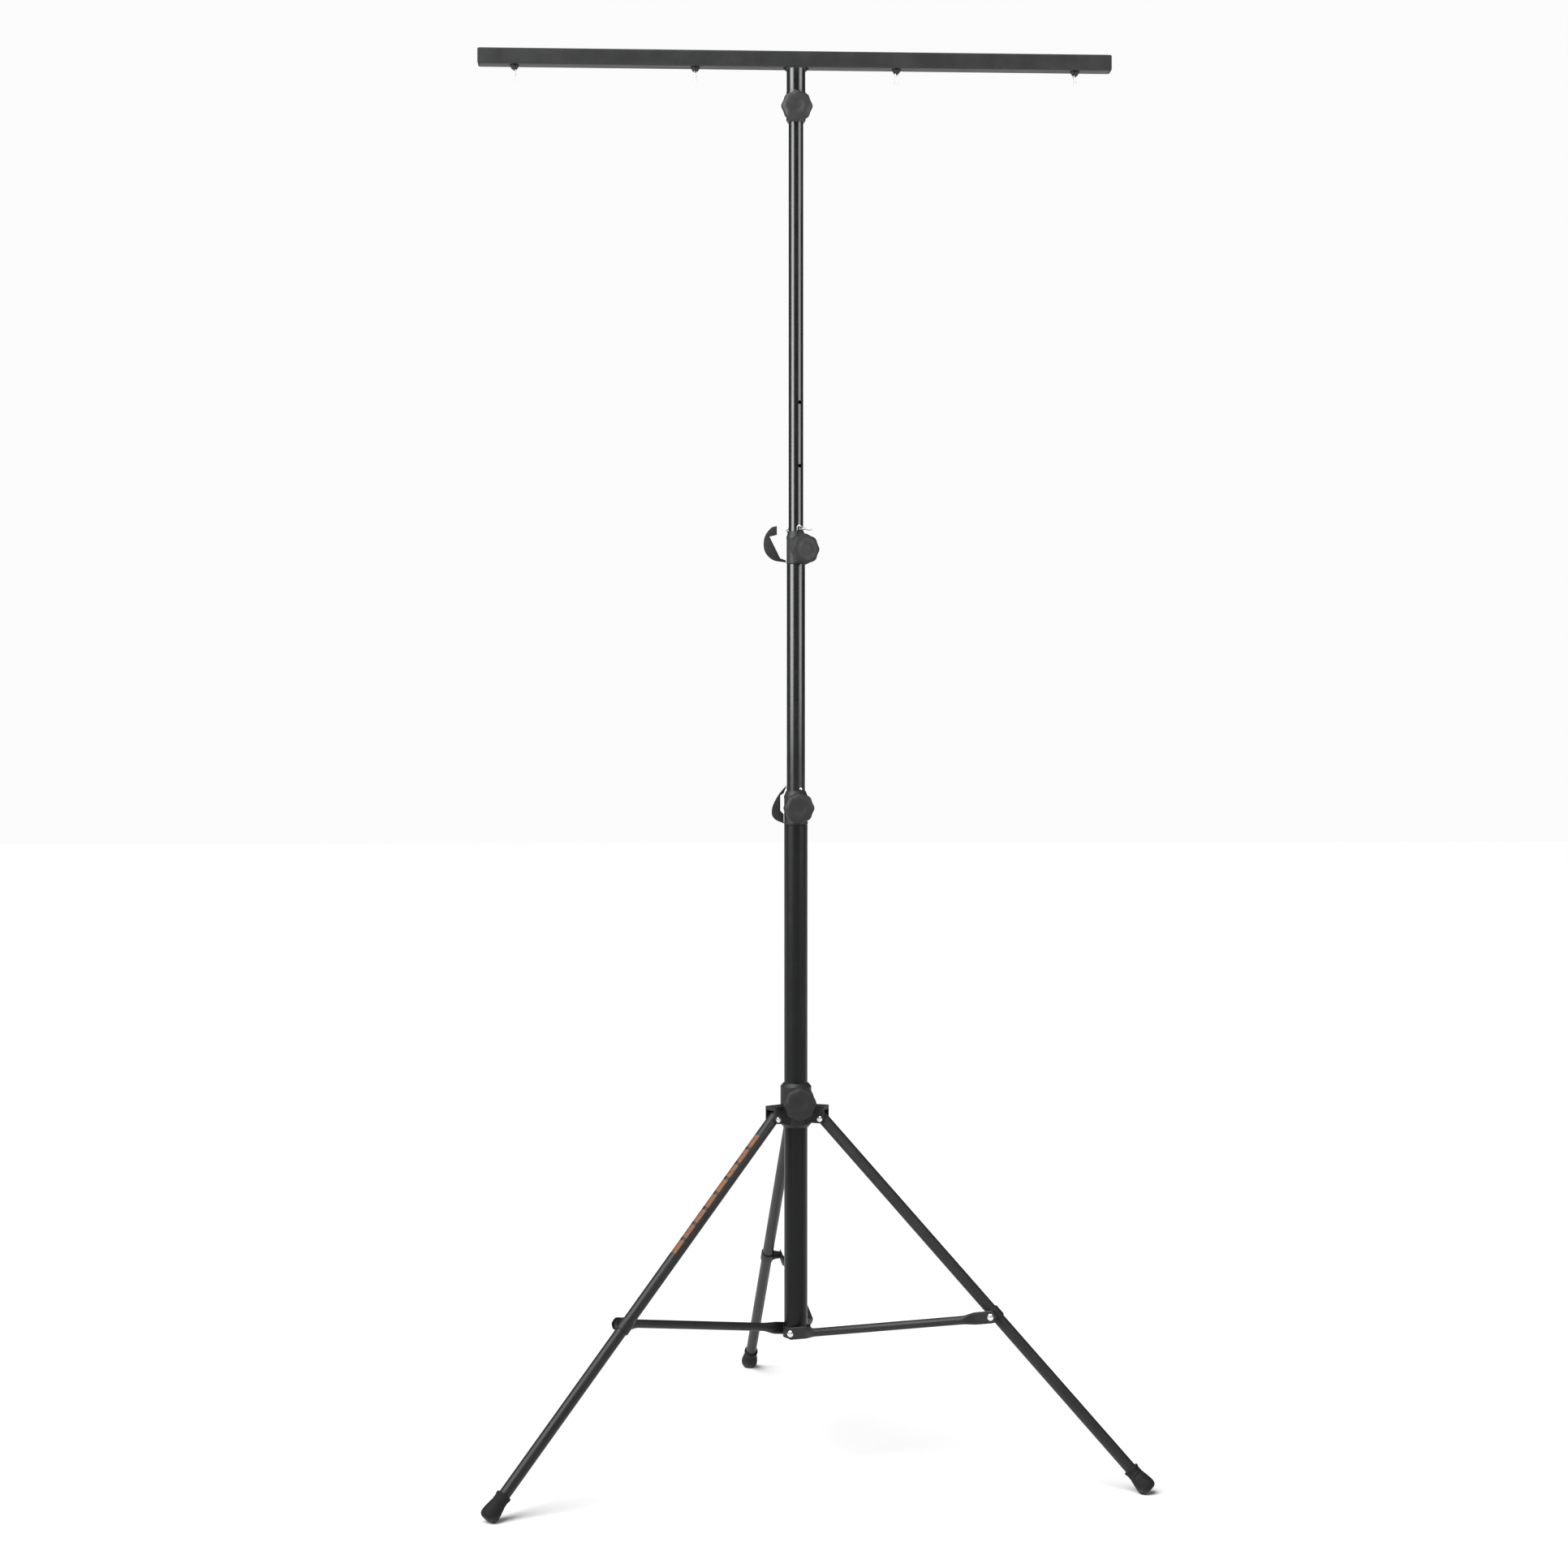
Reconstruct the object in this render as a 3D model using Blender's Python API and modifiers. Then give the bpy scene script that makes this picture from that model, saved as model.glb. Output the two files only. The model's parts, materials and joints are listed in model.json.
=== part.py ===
"""Telescoping tripod lighting stand with a T-bar.

A three-section round mast stands on a folding tripod.  The hub slides on the base tube and
carries three tubular legs; three braces tie the legs to a collar at the foot of the base tube.
Screw knobs clamp the hub, the two mast sections and the T-bar, and two locking pins on plastic
straps back the mast clamps up.  The T-bar holds four hanger bolts with wing nuts.

Units are metres, +Z is up and +X runs along the T-bar.
"""

import math

import bpy
import bmesh
from mathutils import Matrix, Vector

# --- driving dimensions -----------------------------------------------------------------------
GAP = 0.0003                # clearance kept between pieces that touch or nest

# mast
BASE_R, BASE_WALL = 0.0225, 0.0015
MIDDLE_R, MIDDLE_WALL = 0.0175, 0.0015
TOP_R, TOP_WALL = 0.0140, 0.0015
BASE_BOTTOM, BASE_TOP = 0.2290, 1.2160
MIDDLE_BOTTOM, MIDDLE_TOP = 0.7800, 1.7150
TOP_BOTTOM, TOP_TOP = 1.6000, 2.6550
GLIDE_H = 0.030             # plastic glide at the foot of each moving tube

# mast clamps: a reducer pressed into the lower tube, with a boss for the knob
LOWER_CLAMP_Z, LOWER_CLAMP_H = 1.2165, 0.0650
UPPER_CLAMP_Z, UPPER_CLAMP_H = 1.7155, 0.0625
SPIGOT_H = 0.045
LOWER_KNOB_Z = 1.2490
UPPER_KNOB_Z = 1.7420

# locking pins and their straps
PIN_R = 0.0030
LOWER_PIN_Z = 1.2852
UPPER_PIN_Z = 1.7816
PIN_AZIMUTH = -61.0         # the tip points this way, the head the other way
LOWER_PIN_TIP, UPPER_PIN_TIP = 0.0205, 0.0340   # reach of the tips from the mast axis
PIN_HEAD = 0.0255           # reach of the shank on the head's side
HOLE_PITCH = 0.1209         # locking holes up the top tube
STRAP_T = 0.0020

# T-bar
BAR_LENGTH, BAR_SIZE, BAR_WALL = 1.200, 0.030, 0.0015
BAR_Z = 2.6740              # centre of the bar
CAP_LIP = 0.004
SLEEVE_R, SLEEVE_BOTTOM = 0.0178, 2.5560
SLEEVE_KNOB_Z = 2.5790
HANGERS = (-0.5350, -0.1920, 0.1920, 0.5350)
HANGER_R, HANGER_DROP = 0.0030, 0.0260

# sliding hub
HUB_R, HUB_BOTTOM, HUB_TOP = 0.0298, 0.6350, 0.7200
HUB_KNOB_Z = 0.6860
LUG_REACH, EAR_T = 0.0625, 0.0040

# tripod
LEG_R, LEG_WALL = 0.0110, 0.0015
LEG_PIVOT_R, LEG_PIVOT_Z = 0.0550, 0.6550
FOOT_R, FOOT_Z = 0.6900, 0.0120     # centre of the foot's end face
FIRST_LEG = 95.74                   # azimuth of leg 1; the others follow at 120 degrees
BRACE_AT = 0.4000                   # radius of the brace pivot on the leg
BRACE_Z = 0.2398                    # brace pivot on the collar
BRACE_FACE = 0.0260                 # inner face of the brace, beside the leg's middle plane
BRACE_R, BRACE_PLATE_T = 0.0080, 0.0030
PIVOT_R = 0.0040

# knobs
KNOB_R, KNOB_H, KNOB_LOBES = 0.0300, 0.0200, 8
HUB_KNOB_R = 0.0325         # the hub's knob is a size larger than the others
KNOB_BORE = 0.0140          # depth of the screw's hole from the knob's inner end
SCREW_R = 0.0040
HUB_BOSS, LOWER_BOSS, UPPER_BOSS, SLEEVE_BOSS = 0.0400, 0.0310, 0.0270, 0.0280  # reach of bosses
BOSS_R = 0.0105

SIDES = 24                  # facets of the round tubes
ROUND = 12                  # facets of small round pieces

LEG_RUN, LEG_FALL = FOOT_R - LEG_PIVOT_R, LEG_PIVOT_Z - FOOT_Z
LEG_LENGTH = math.hypot(LEG_RUN, LEG_FALL)
LEG_SLOPE = math.atan2(LEG_FALL, LEG_RUN)
BRACE_ON_LEG = (BRACE_AT - LEG_PIVOT_R) / math.cos(LEG_SLOPE)
BRACE_END_Z = LEG_PIVOT_Z - BRACE_ON_LEG * math.sin(LEG_SLOPE)
BRACE_LENGTH = math.hypot(BRACE_AT, BRACE_END_Z - BRACE_Z)
BRACE_SLOPE = math.atan2(BRACE_END_Z - BRACE_Z, BRACE_AT)


# --- scene, materials and modelling helpers ---------------------------------------------------
def clear_scene():
    for obj in list(bpy.data.objects):
        bpy.data.objects.remove(obj, do_unlink=True)


def new_material(name, colour, roughness, metallic=0.0):
    material = bpy.data.materials.new(name)
    material.use_nodes = True
    shader = material.node_tree.nodes["Principled BSDF"]
    shader.inputs["Base Color"].default_value = (*colour, 1.0)
    shader.inputs["Roughness"].default_value = roughness
    shader.inputs["Metallic"].default_value = metallic
    material.diffuse_color = (*colour, 1.0)
    return material


def new_empty(name, parent=None, location=(0.0, 0.0, 0.0), azimuth=0.0):
    empty = bpy.data.objects.new(name, None)
    STAND.objects.link(empty)
    empty.parent = parent
    empty.location = location
    empty.rotation_euler.z = math.radians(azimuth)
    return empty


def draft(mesh):
    obj = bpy.data.objects.new("draft", mesh)
    STAND.objects.link(obj)
    return obj


def bake(obj, cutters=()):
    """Apply a draft's modifiers, cut it with its cutters, and return the finished mesh."""
    for cutter in cutters:
        cutter.hide_render = True
        cutter.display_type = "WIRE"
        modifier = obj.modifiers.new("cut", "BOOLEAN")
        modifier.operation = "DIFFERENCE"
        modifier.object = cutter
    bpy.context.view_layer.update()
    graph = bpy.context.evaluated_depsgraph_get()
    mesh = bpy.data.meshes.new_from_object(obj.evaluated_get(graph))
    for used in (obj, *cutters):
        bpy.data.objects.remove(used, do_unlink=True)
    return mesh


def joined(obj, additions):
    """Unite a draft with other drafts into one body and return it as a new draft."""
    for addition in additions:
        modifier = obj.modifiers.new("join", "BOOLEAN")
        modifier.operation = "UNION"
        modifier.object = addition
    bpy.context.view_layer.update()
    graph = bpy.context.evaluated_depsgraph_get()
    mesh = bpy.data.meshes.new_from_object(obj.evaluated_get(graph))
    for used in (obj, *additions):
        bpy.data.objects.remove(used, do_unlink=True)
    return draft(mesh)


def place(name, mesh, material, parent, location=(0.0, 0.0, 0.0), rotation=(0.0, 0.0, 0.0),
          round_piece=True):
    """Add a finished piece of the stand under its parent empty."""
    obj = bpy.data.objects.new(name, mesh)
    STAND.objects.link(obj)
    obj.parent = parent
    obj.location = location
    obj.rotation_euler = rotation
    if not mesh.materials:
        mesh.materials.append(material)
    if round_piece:
        mesh.shade_smooth()
        mesh.set_sharp_from_angle(angle=math.radians(35))
    return obj


def lathe(profile, sides=SIDES):
    """Turn a profile of (radius, height) points about Z; it runs down its outer side first.

    A profile that starts and ends on the axis makes a solid, any other one closes on itself
    and makes a ring.
    """
    on_axis = profile[0][0] == 0.0 and profile[-1][0] == 0.0
    mesh = bpy.data.meshes.new("turned")
    count = len(profile)
    edges = [(i, i + 1) for i in range(count - 1)]
    if not on_axis:
        edges.append((count - 1, 0))
    mesh.from_pydata([(r, 0.0, z) for r, z in profile], edges, [])
    obj = draft(mesh)
    screw = obj.modifiers.new("turn", "SCREW")
    screw.steps = screw.render_steps = sides
    screw.use_merge_vertices = True
    screw.merge_threshold = 1e-5
    screw.use_smooth_shade = False
    return obj


def ring(outer, inner, bottom, top, sides=SIDES):
    return lathe([(outer, top), (outer, bottom), (inner, bottom), (inner, top)], sides)


def rod(radius, bottom, top, sides=ROUND):
    return lathe([(0.0, top), (radius, top), (radius, bottom), (0.0, bottom)], sides)


def turned_to(obj, direction, origin=(0.0, 0.0, 0.0)):
    """Stand a draft made about Z along another direction."""
    turn = Vector((0.0, 0.0, 1.0)).rotation_difference(Vector(direction)).to_matrix().to_4x4()
    obj.matrix_world = Matrix.Translation(Vector(origin)) @ turn
    return obj


def block(size, centre=(0.0, 0.0, 0.0)):
    mesh = bpy.data.meshes.new("block")
    shape = bmesh.new()
    bmesh.ops.create_cube(shape, size=1.0)
    bmesh.ops.scale(shape, vec=size, verts=shape.verts)
    bmesh.ops.translate(shape, vec=centre, verts=shape.verts)
    shape.to_mesh(mesh)
    shape.free()
    return draft(mesh)


def rounded_bar(length, width, height, corner, start=0.0):
    """A bar along X from start, with its four long edges rounded."""
    mesh = bpy.data.meshes.new("bar")
    shape = bmesh.new()
    bmesh.ops.create_cube(shape, size=1.0)
    bmesh.ops.scale(shape, vec=(length, width, height), verts=shape.verts)
    bmesh.ops.translate(shape, vec=(start + length / 2, 0.0, 0.0), verts=shape.verts)
    long_edges = [e for e in shape.edges if abs((e.verts[0].co - e.verts[1].co).x) > length / 2]
    bmesh.ops.bevel(shape, geom=long_edges, offset=corner, segments=3, profile=0.5,
                    affect="EDGES")
    shape.to_mesh(mesh)
    shape.free()
    return draft(mesh)


def tube_mesh(outer, wall, bottom, top, holes=()):
    """A round tube about Z with cross holes, each given as (height, azimuth, radius)."""
    cutters = []
    for height, azimuth, radius in holes:
        angle = math.radians(azimuth)
        cutter = rod(radius, -outer - 0.01, outer + 0.01)
        cutters.append(turned_to(cutter, (math.cos(angle), math.sin(angle), 0.0),
                                 (0.0, 0.0, height)))
    return bake(ring(outer, outer - wall, bottom, top), cutters)


# --- mast -------------------------------------------------------------------------------------
def glide_mesh(outer, inner, bottom):
    """The plastic plug at the foot of a moving tube: a spigot inside it and a flange below."""
    bore = inner - 0.004
    return bake(lathe([(inner - GAP, bottom + GLIDE_H), (inner - GAP, bottom),
                       (outer, bottom - GAP), (outer, bottom - 0.012), (outer - 0.001, bottom - 0.013),
                       (bore, bottom - 0.013), (bore, bottom + GLIDE_H)]))


def clamp_mesh(outer, bore, tube_bore, height, knob_height, knob_azimuth, boss_reach, top_r):
    """A mast clamp about Z with its seat at height zero and its spigot below."""
    body = lathe([(top_r, height), (outer, height - 0.010), (outer, 0.0),
                  (tube_bore - GAP, 0.0), (tube_bore - GAP, -SPIGOT_H), (bore, -SPIGOT_H),
                  (bore, height)])
    angle = math.radians(knob_azimuth)
    outward = (math.cos(angle), math.sin(angle), 0.0)
    seat = (0.0, 0.0, knob_height)
    boss = turned_to(rod(BOSS_R, bore + 0.001, boss_reach), outward, seat)
    screw_hole = turned_to(rod(SCREW_R + GAP, 0.0, boss_reach + 0.01), outward, seat)
    bore_space = rod(bore, -SPIGOT_H - 0.01, height + 0.01, SIDES)
    return bake(joined(body, [boss]), [bore_space, screw_hole])


def build_mast(mast, middle, top):
    place("base_tube", tube_mesh(BASE_R, BASE_WALL, BASE_BOTTOM, BASE_TOP), BLACK_PAINT, mast)
    plug_r = BASE_R - BASE_WALL - GAP
    place("base_plug", bake(rod(plug_r, BASE_BOTTOM, BASE_BOTTOM + 0.018, SIDES)),
          BLACK_PLASTIC, mast)

    pin_hole = PIN_R + 2 * GAP
    middle_holes = [(LOWER_PIN_Z, PIN_AZIMUTH, pin_hole)]
    place("middle_tube",
          tube_mesh(MIDDLE_R, MIDDLE_WALL, MIDDLE_BOTTOM, MIDDLE_TOP, middle_holes),
          BLACK_PAINT, middle)
    place("middle_glide",
          glide_mesh(BASE_R - BASE_WALL - GAP, MIDDLE_R - MIDDLE_WALL, MIDDLE_BOTTOM - GAP),
          BLACK_PLASTIC, middle)

    top_holes = [(UPPER_PIN_Z + step * HOLE_PITCH, PIN_AZIMUTH, pin_hole) for step in range(3)]
    place("top_tube", tube_mesh(TOP_R, TOP_WALL, TOP_BOTTOM, TOP_TOP, top_holes),
          BLACK_PAINT, top)
    place("top_glide",
          glide_mesh(MIDDLE_R - MIDDLE_WALL - GAP, TOP_R - TOP_WALL, TOP_BOTTOM - GAP),
          BLACK_PLASTIC, top)

    lower = clamp_mesh(BASE_R + 0.0005, MIDDLE_R + GAP, BASE_R - BASE_WALL, LOWER_CLAMP_H,
                       LOWER_KNOB_Z - LOWER_CLAMP_Z, FRONT, LOWER_BOSS,
                       MIDDLE_R + 0.0015)
    place("lower_clamp", lower, BLACK_CASTING, mast, (0.0, 0.0, LOWER_CLAMP_Z))
    upper = clamp_mesh(MIDDLE_R + 0.0008, TOP_R + GAP, MIDDLE_R - MIDDLE_WALL, UPPER_CLAMP_H,
                       UPPER_KNOB_Z - UPPER_CLAMP_Z, UPPER_KNOB_AZIMUTH, UPPER_BOSS,
                       TOP_R + 0.0018)
    place("upper_clamp", upper, BLACK_CASTING, middle, (0.0, 0.0, UPPER_CLAMP_Z))


# --- knobs, pins and straps -------------------------------------------------------------------
def knob_mesh(grip):
    """A lobed screw knob along Z: a short neck, a lobed grip and a flat bevelled face."""
    mesh = bpy.data.meshes.new("knob")
    shape = bmesh.new()
    count = KNOB_LOBES * 3
    neck = 0.0120
    levels = [(0.0, neck, 0.0), (0.003, neck, 0.0), (0.007, grip, 1.0),
              (KNOB_H - 0.004, grip - 0.0015, 1.0), (KNOB_H, grip - 0.0075, 0.3)]
    rows = []
    for height, radius, lobing in levels:
        row = []
        for step in range(count):
            angle = 2 * math.pi * step / count
            reach = radius + 0.0014 * lobing * (math.cos(KNOB_LOBES * angle) - 1.0)
            row.append(shape.verts.new((reach * math.cos(angle), reach * math.sin(angle), height)))
        rows.append(row)
    for lower, upper in zip(rows, rows[1:]):
        for step in range(count):
            after = (step + 1) % count
            shape.faces.new((lower[step], lower[after], upper[after], upper[step]))
    shape.faces.new(rows[-1])
    shape.faces.new(list(reversed(rows[0])))
    shape.to_mesh(mesh)
    shape.free()
    bored = rod(SCREW_R + GAP, -0.01, KNOB_BORE)
    return bake(draft(mesh), [bored])


def build_knob(name, mesh, height, azimuth, boss_reach, tip, parent):
    """Hang a knob and its screw on an empty whose +X points out along the screw."""
    axis = new_empty(name + "_axis", parent, (0.0, 0.0, height), azimuth)
    lean = (0.0, math.pi / 2, 0.0)
    place(name, mesh, BLACK_PLASTIC, axis, (boss_reach + GAP, 0.0, 0.0), lean)
    end = boss_reach + KNOB_BORE
    place(name + "_screw", bake(rod(SCREW_R, tip, end)), ZINC, axis, (0.0, 0.0, 0.0), lean)


def build_pin(name, height, tube_r, reach, parent):
    """A locking pin in two stretches, one each side of the tube that it locks."""
    axis = new_empty(name + "_axis", parent, (0.0, 0.0, height), PIN_AZIMUTH)
    lean = (0.0, math.pi / 2, 0.0)
    clear = tube_r + GAP
    tip = lathe([(0.0, reach), (PIN_R - 0.0010, reach), (PIN_R, reach - 0.0012),
                 (PIN_R, clear), (0.0, clear)], ROUND)
    place(name + "_tip", bake(tip), ZINC, axis, (0.0, 0.0, 0.0), lean)
    shank = lathe([(0.0, -clear), (PIN_R, -clear), (PIN_R, -PIN_HEAD), (0.0050, -PIN_HEAD - 0.0005),
                   (0.0050, -PIN_HEAD - 0.0030), (0.0, -PIN_HEAD - 0.0035)], ROUND)
    place(name + "_shank", bake(shank), ZINC, axis, (0.0, 0.0, 0.0), lean)


def strap_mesh(sharp, rounded):
    """A flat moulded strap in the X-Z plane: sharp corners by the mast, then a rounded back."""
    curve = bpy.data.curves.new("strap", "CURVE")
    curve.dimensions = "2D"
    curve.fill_mode = "BOTH"
    curve.extrude = STRAP_T / 2
    curve.resolution_u = curve.render_resolution_u = 3
    spline = curve.splines.new("BEZIER")
    spline.use_cyclic_u = True
    spline.bezier_points.add(len(sharp) + len(rounded) - 1)
    handles = ["VECTOR"] * len(sharp) + ["AUTO"] * len(rounded)
    for point, (x, z), handle in zip(spline.bezier_points, sharp + rounded, handles):
        point.co = (x, z, 0.0)
        point.handle_left_type = point.handle_right_type = handle
    flat = bpy.data.objects.new("strap", curve)
    STAND.objects.link(flat)
    mesh = bake(flat)
    mesh.transform(Matrix.Rotation(math.pi / 2, 4, "X"))
    welded = bmesh.new()
    welded.from_mesh(mesh)
    bmesh.ops.remove_doubles(welded, verts=welded.verts, dist=1e-6)
    welded.to_mesh(mesh)
    welded.free()
    return mesh


def build_knobs_and_pins(mast, middle, t_bar, hub):
    knob, large_knob = knob_mesh(KNOB_R), knob_mesh(HUB_KNOB_R)
    build_knob("hub_knob", large_knob, HUB_KNOB_Z, FRONT, HUB_BOSS, BASE_R + GAP, hub)
    build_knob("lower_knob", knob, LOWER_KNOB_Z, FRONT, LOWER_BOSS, MIDDLE_R + GAP, mast)
    build_knob("upper_knob", knob, UPPER_KNOB_Z, UPPER_KNOB_AZIMUTH, UPPER_BOSS, TOP_R + GAP,
               middle)
    build_knob("sleeve_knob", knob, SLEEVE_KNOB_Z, -90.0, SLEEVE_BOSS, TOP_R + GAP, t_bar)
    build_pin("lower_pin", LOWER_PIN_Z, MIDDLE_R, LOWER_PIN_TIP, mast)
    build_pin("upper_pin", UPPER_PIN_Z, TOP_R, UPPER_PIN_TIP, middle)

    # Heights in the outlines run from the seat of each clamp.
    lower_strap = strap_mesh(
        [(-0.0234, 0.0020), (-0.0234, 0.0200), (-0.0300, 0.0270), (-0.0300, 0.0560),
         (-0.0236, 0.0600), (-0.0205, 0.0680), (-0.0182, 0.0760)],
        [(-0.0380, 0.0500), (-0.0465, 0.0230), (-0.0430, 0.0130)])
    place("lower_strap", lower_strap, BLACK_PLASTIC, mast, (0.0, 0.0, LOWER_CLAMP_Z),
          round_piece=False)
    upper_strap = strap_mesh(
        [(-0.0195, 0.0030), (-0.0195, 0.0075), (-0.0300, 0.0110), (-0.0505, 0.0525),
         (-0.0365, 0.0560), (-0.0365, 0.0730)],
        [(-0.0480, 0.0690), (-0.0620, 0.0360), (-0.0490, 0.0110)])
    place("upper_strap", upper_strap, BLACK_PLASTIC, middle, (0.0, 0.0, UPPER_CLAMP_Z),
          round_piece=False)


# --- T-bar ------------------------------------------------------------------------------------
def build_t_bar(t_bar):
    half = BAR_LENGTH / 2
    bar = rounded_bar(BAR_LENGTH, BAR_SIZE, BAR_SIZE, 0.0025, -half)
    inside = rounded_bar(BAR_LENGTH + 0.02, BAR_SIZE - 2 * BAR_WALL, BAR_SIZE - 2 * BAR_WALL,
                         0.0012, -half - 0.01)
    cutters = [inside]
    for x in HANGERS:
        hole = rod(HANGER_R + GAP, -BAR_SIZE, BAR_SIZE)
        hole.location.x = x
        cutters.append(hole)
    place("t_bar", bake(bar, cutters), BLACK_PAINT, t_bar, (0.0, 0.0, BAR_Z), round_piece=False)

    plug = BAR_SIZE - 2 * BAR_WALL - 2 * GAP
    cap = joined(rounded_bar(CAP_LIP, BAR_SIZE, BAR_SIZE, 0.0025, half + GAP),
                 [rounded_bar(0.018, plug, plug, 0.0010, half + GAP + 0.001 - 0.018)])
    cap_mesh = bake(cap)
    place("bar_cap_right", cap_mesh, BLACK_PLASTIC, t_bar, (0.0, 0.0, BAR_Z), round_piece=False)
    place("bar_cap_left", cap_mesh, BLACK_PLASTIC, t_bar, (0.0, 0.0, BAR_Z),
          (0.0, 0.0, math.pi), round_piece=False)

    underside = BAR_Z - BAR_SIZE / 2 - GAP
    sleeve = lathe([(SLEEVE_R + 0.0010, underside), (SLEEVE_R, underside - 0.006),
                    (SLEEVE_R, SLEEVE_BOTTOM + 0.060), (SLEEVE_R + 0.0007, SLEEVE_BOTTOM + 0.058),
                    (SLEEVE_R + 0.0007, SLEEVE_BOTTOM + 0.006), (TOP_R + 0.0012, SLEEVE_BOTTOM),
                    (TOP_R + GAP, SLEEVE_BOTTOM), (TOP_R + GAP, underside)])
    gusset_w, gusset_h = 0.014, 0.009
    gussets = [block((gusset_w, 0.006, gusset_h),
                     (side * (SLEEVE_R + 0.001), 0.0, underside - gusset_h / 2))
               for side in (-1, 1)]
    seat = (0.0, 0.0, SLEEVE_KNOB_Z)
    front = (0.0, -1.0, 0.0)
    boss = turned_to(rod(BOSS_R, TOP_R + 0.002, SLEEVE_BOSS), front, seat)
    screw_hole = turned_to(rod(SCREW_R + GAP, 0.0, SLEEVE_BOSS + 0.01), front, seat)
    bore = rod(TOP_R + GAP, SLEEVE_BOTTOM - 0.01, underside + 0.01, SIDES)
    place("bar_sleeve", bake(joined(sleeve, [*gussets, boss]), [bore, screw_hole]),
          BLACK_PAINT, t_bar)

    crown = BAR_Z + BAR_SIZE / 2 + GAP
    bolt = bake(lathe([(0.0, crown + 0.0026), (0.0035, crown + 0.0022), (0.0060, crown + 0.0008),
                       (0.0062, crown), (HANGER_R, crown), (HANGER_R, underside - HANGER_DROP),
                       (0.0, underside - HANGER_DROP - 0.001)], ROUND))
    for number, x in enumerate(HANGERS, start=1):
        place(f"hanger_bolt_{number}", bolt, ZINC, t_bar, (x, 0.0, 0.0))

    nut = wing_nut_mesh()
    for number, x in enumerate(HANGERS, start=1):
        axis = new_empty(f"wing_nut_{number}_axis", t_bar, (x, 0.0, underside))
        place(f"wing_nut_{number}", nut, BLACK_PAINT, axis)


def wing_nut_mesh():
    """A cone-backed wing nut hanging below zero, its wings along Y."""
    cone = lathe([(0.0, 0.0), (0.0088, 0.0), (0.0088, -0.0012), (0.0050, -0.0075),
                  (0.0, -0.0075)], ROUND)
    wings = []
    for side in (-1, 1):
        wing = block((0.0026, 0.0100, 0.0080), (0.0, side * 0.0085, -0.0072))
        wings.append(wing)
    return bake(joined(cone, wings), [rod(HANGER_R + GAP, -0.02, 0.01)])


# --- hub, legs and braces ---------------------------------------------------------------------
def build_hub(hub, stations):
    bore = BASE_R + GAP
    body = lathe([(bore + 0.0015, HUB_TOP), (HUB_R, HUB_TOP - 0.006), (HUB_R, HUB_BOTTOM + 0.006),
                  (bore + 0.0015, HUB_BOTTOM), (bore, HUB_BOTTOM), (bore, HUB_TOP)])
    slot = LEG_R + 2 * GAP
    outer = slot + EAR_T
    plate_under, plate_top = LEG_PIVOT_Z + 0.0166, LEG_PIVOT_Z + 0.0236
    ear_bottom = LEG_PIVOT_Z - 0.0090
    additions, cutters = [], []
    for station in stations:
        turn = Matrix.Rotation(station.rotation_euler.z, 4, "Z")
        reach = LUG_REACH - 0.020
        lug = block((reach, 2 * outer, plate_top - ear_bottom),
                    (0.020 + reach / 2, 0.0, (plate_top + ear_bottom) / 2))
        lug.matrix_world = turn
        additions.append(lug)
        space = block((LUG_REACH, 2 * slot, plate_under - ear_bottom + 0.02),
                      (HUB_R + LUG_REACH / 2, 0.0, (plate_under + ear_bottom - 0.02) / 2))
        space.matrix_world = turn
        cutters.append(space)
        hole = rod(PIVOT_R + GAP, -outer - 0.01, outer + 0.01)
        hole.matrix_world = turn @ Matrix.Translation((LEG_PIVOT_R, 0.0, LEG_PIVOT_Z)) \
            @ Matrix.Rotation(math.pi / 2, 4, "X")
        cutters.append(hole)
    angle = math.radians(FRONT)
    outward = (math.cos(angle), math.sin(angle), 0.0)
    seat = (0.0, 0.0, HUB_KNOB_Z)
    additions.append(turned_to(rod(0.0130, 0.0240, HUB_BOSS), outward, seat))
    cutters.append(rod(bore, HUB_BOTTOM - 0.01, HUB_TOP + 0.01, SIDES))
    cutters.append(turned_to(rod(SCREW_R + GAP, 0.0, HUB_BOSS + 0.01), outward, seat))
    place("hub", bake(joined(body, additions), cutters), BLACK_CASTING, hub)

    half = outer + GAP
    pivot = lathe([(0.0, half + 0.0022), (0.0035, half + 0.0020), (0.0058, half),
                   (PIVOT_R, half), (PIVOT_R, -half), (0.0058, -half),
                   (0.0035, -half - 0.0020), (0.0, -half - 0.0022)], ROUND)
    pivot_mesh = bake(pivot)
    for number, station in enumerate(stations, start=1):
        seat_empty = new_empty(f"leg_pivot_{number}_seat", hub, azimuth=station_azimuth(number))
        place(f"leg_pivot_{number}", pivot_mesh, ZINC, seat_empty,
              (LEG_PIVOT_R, 0.0, LEG_PIVOT_Z), (math.pi / 2, 0.0, 0.0))


def along_x(mesh):
    """Lay a mesh that was made up Z along X."""
    mesh.transform(Matrix.Rotation(math.pi / 2, 4, "Y"))
    return mesh


def leg_mesh():
    """A round leg tube along +X from its pivot, with the pivot's cross hole."""
    tail, end = 0.0100, LEG_LENGTH - 0.0120
    hole = rod(PIVOT_R + GAP, -0.02, 0.02)
    hole.rotation_euler.x = math.pi / 2
    return along_x(bake(ring(LEG_R, LEG_R - LEG_WALL, -tail, end), [hole]))


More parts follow.
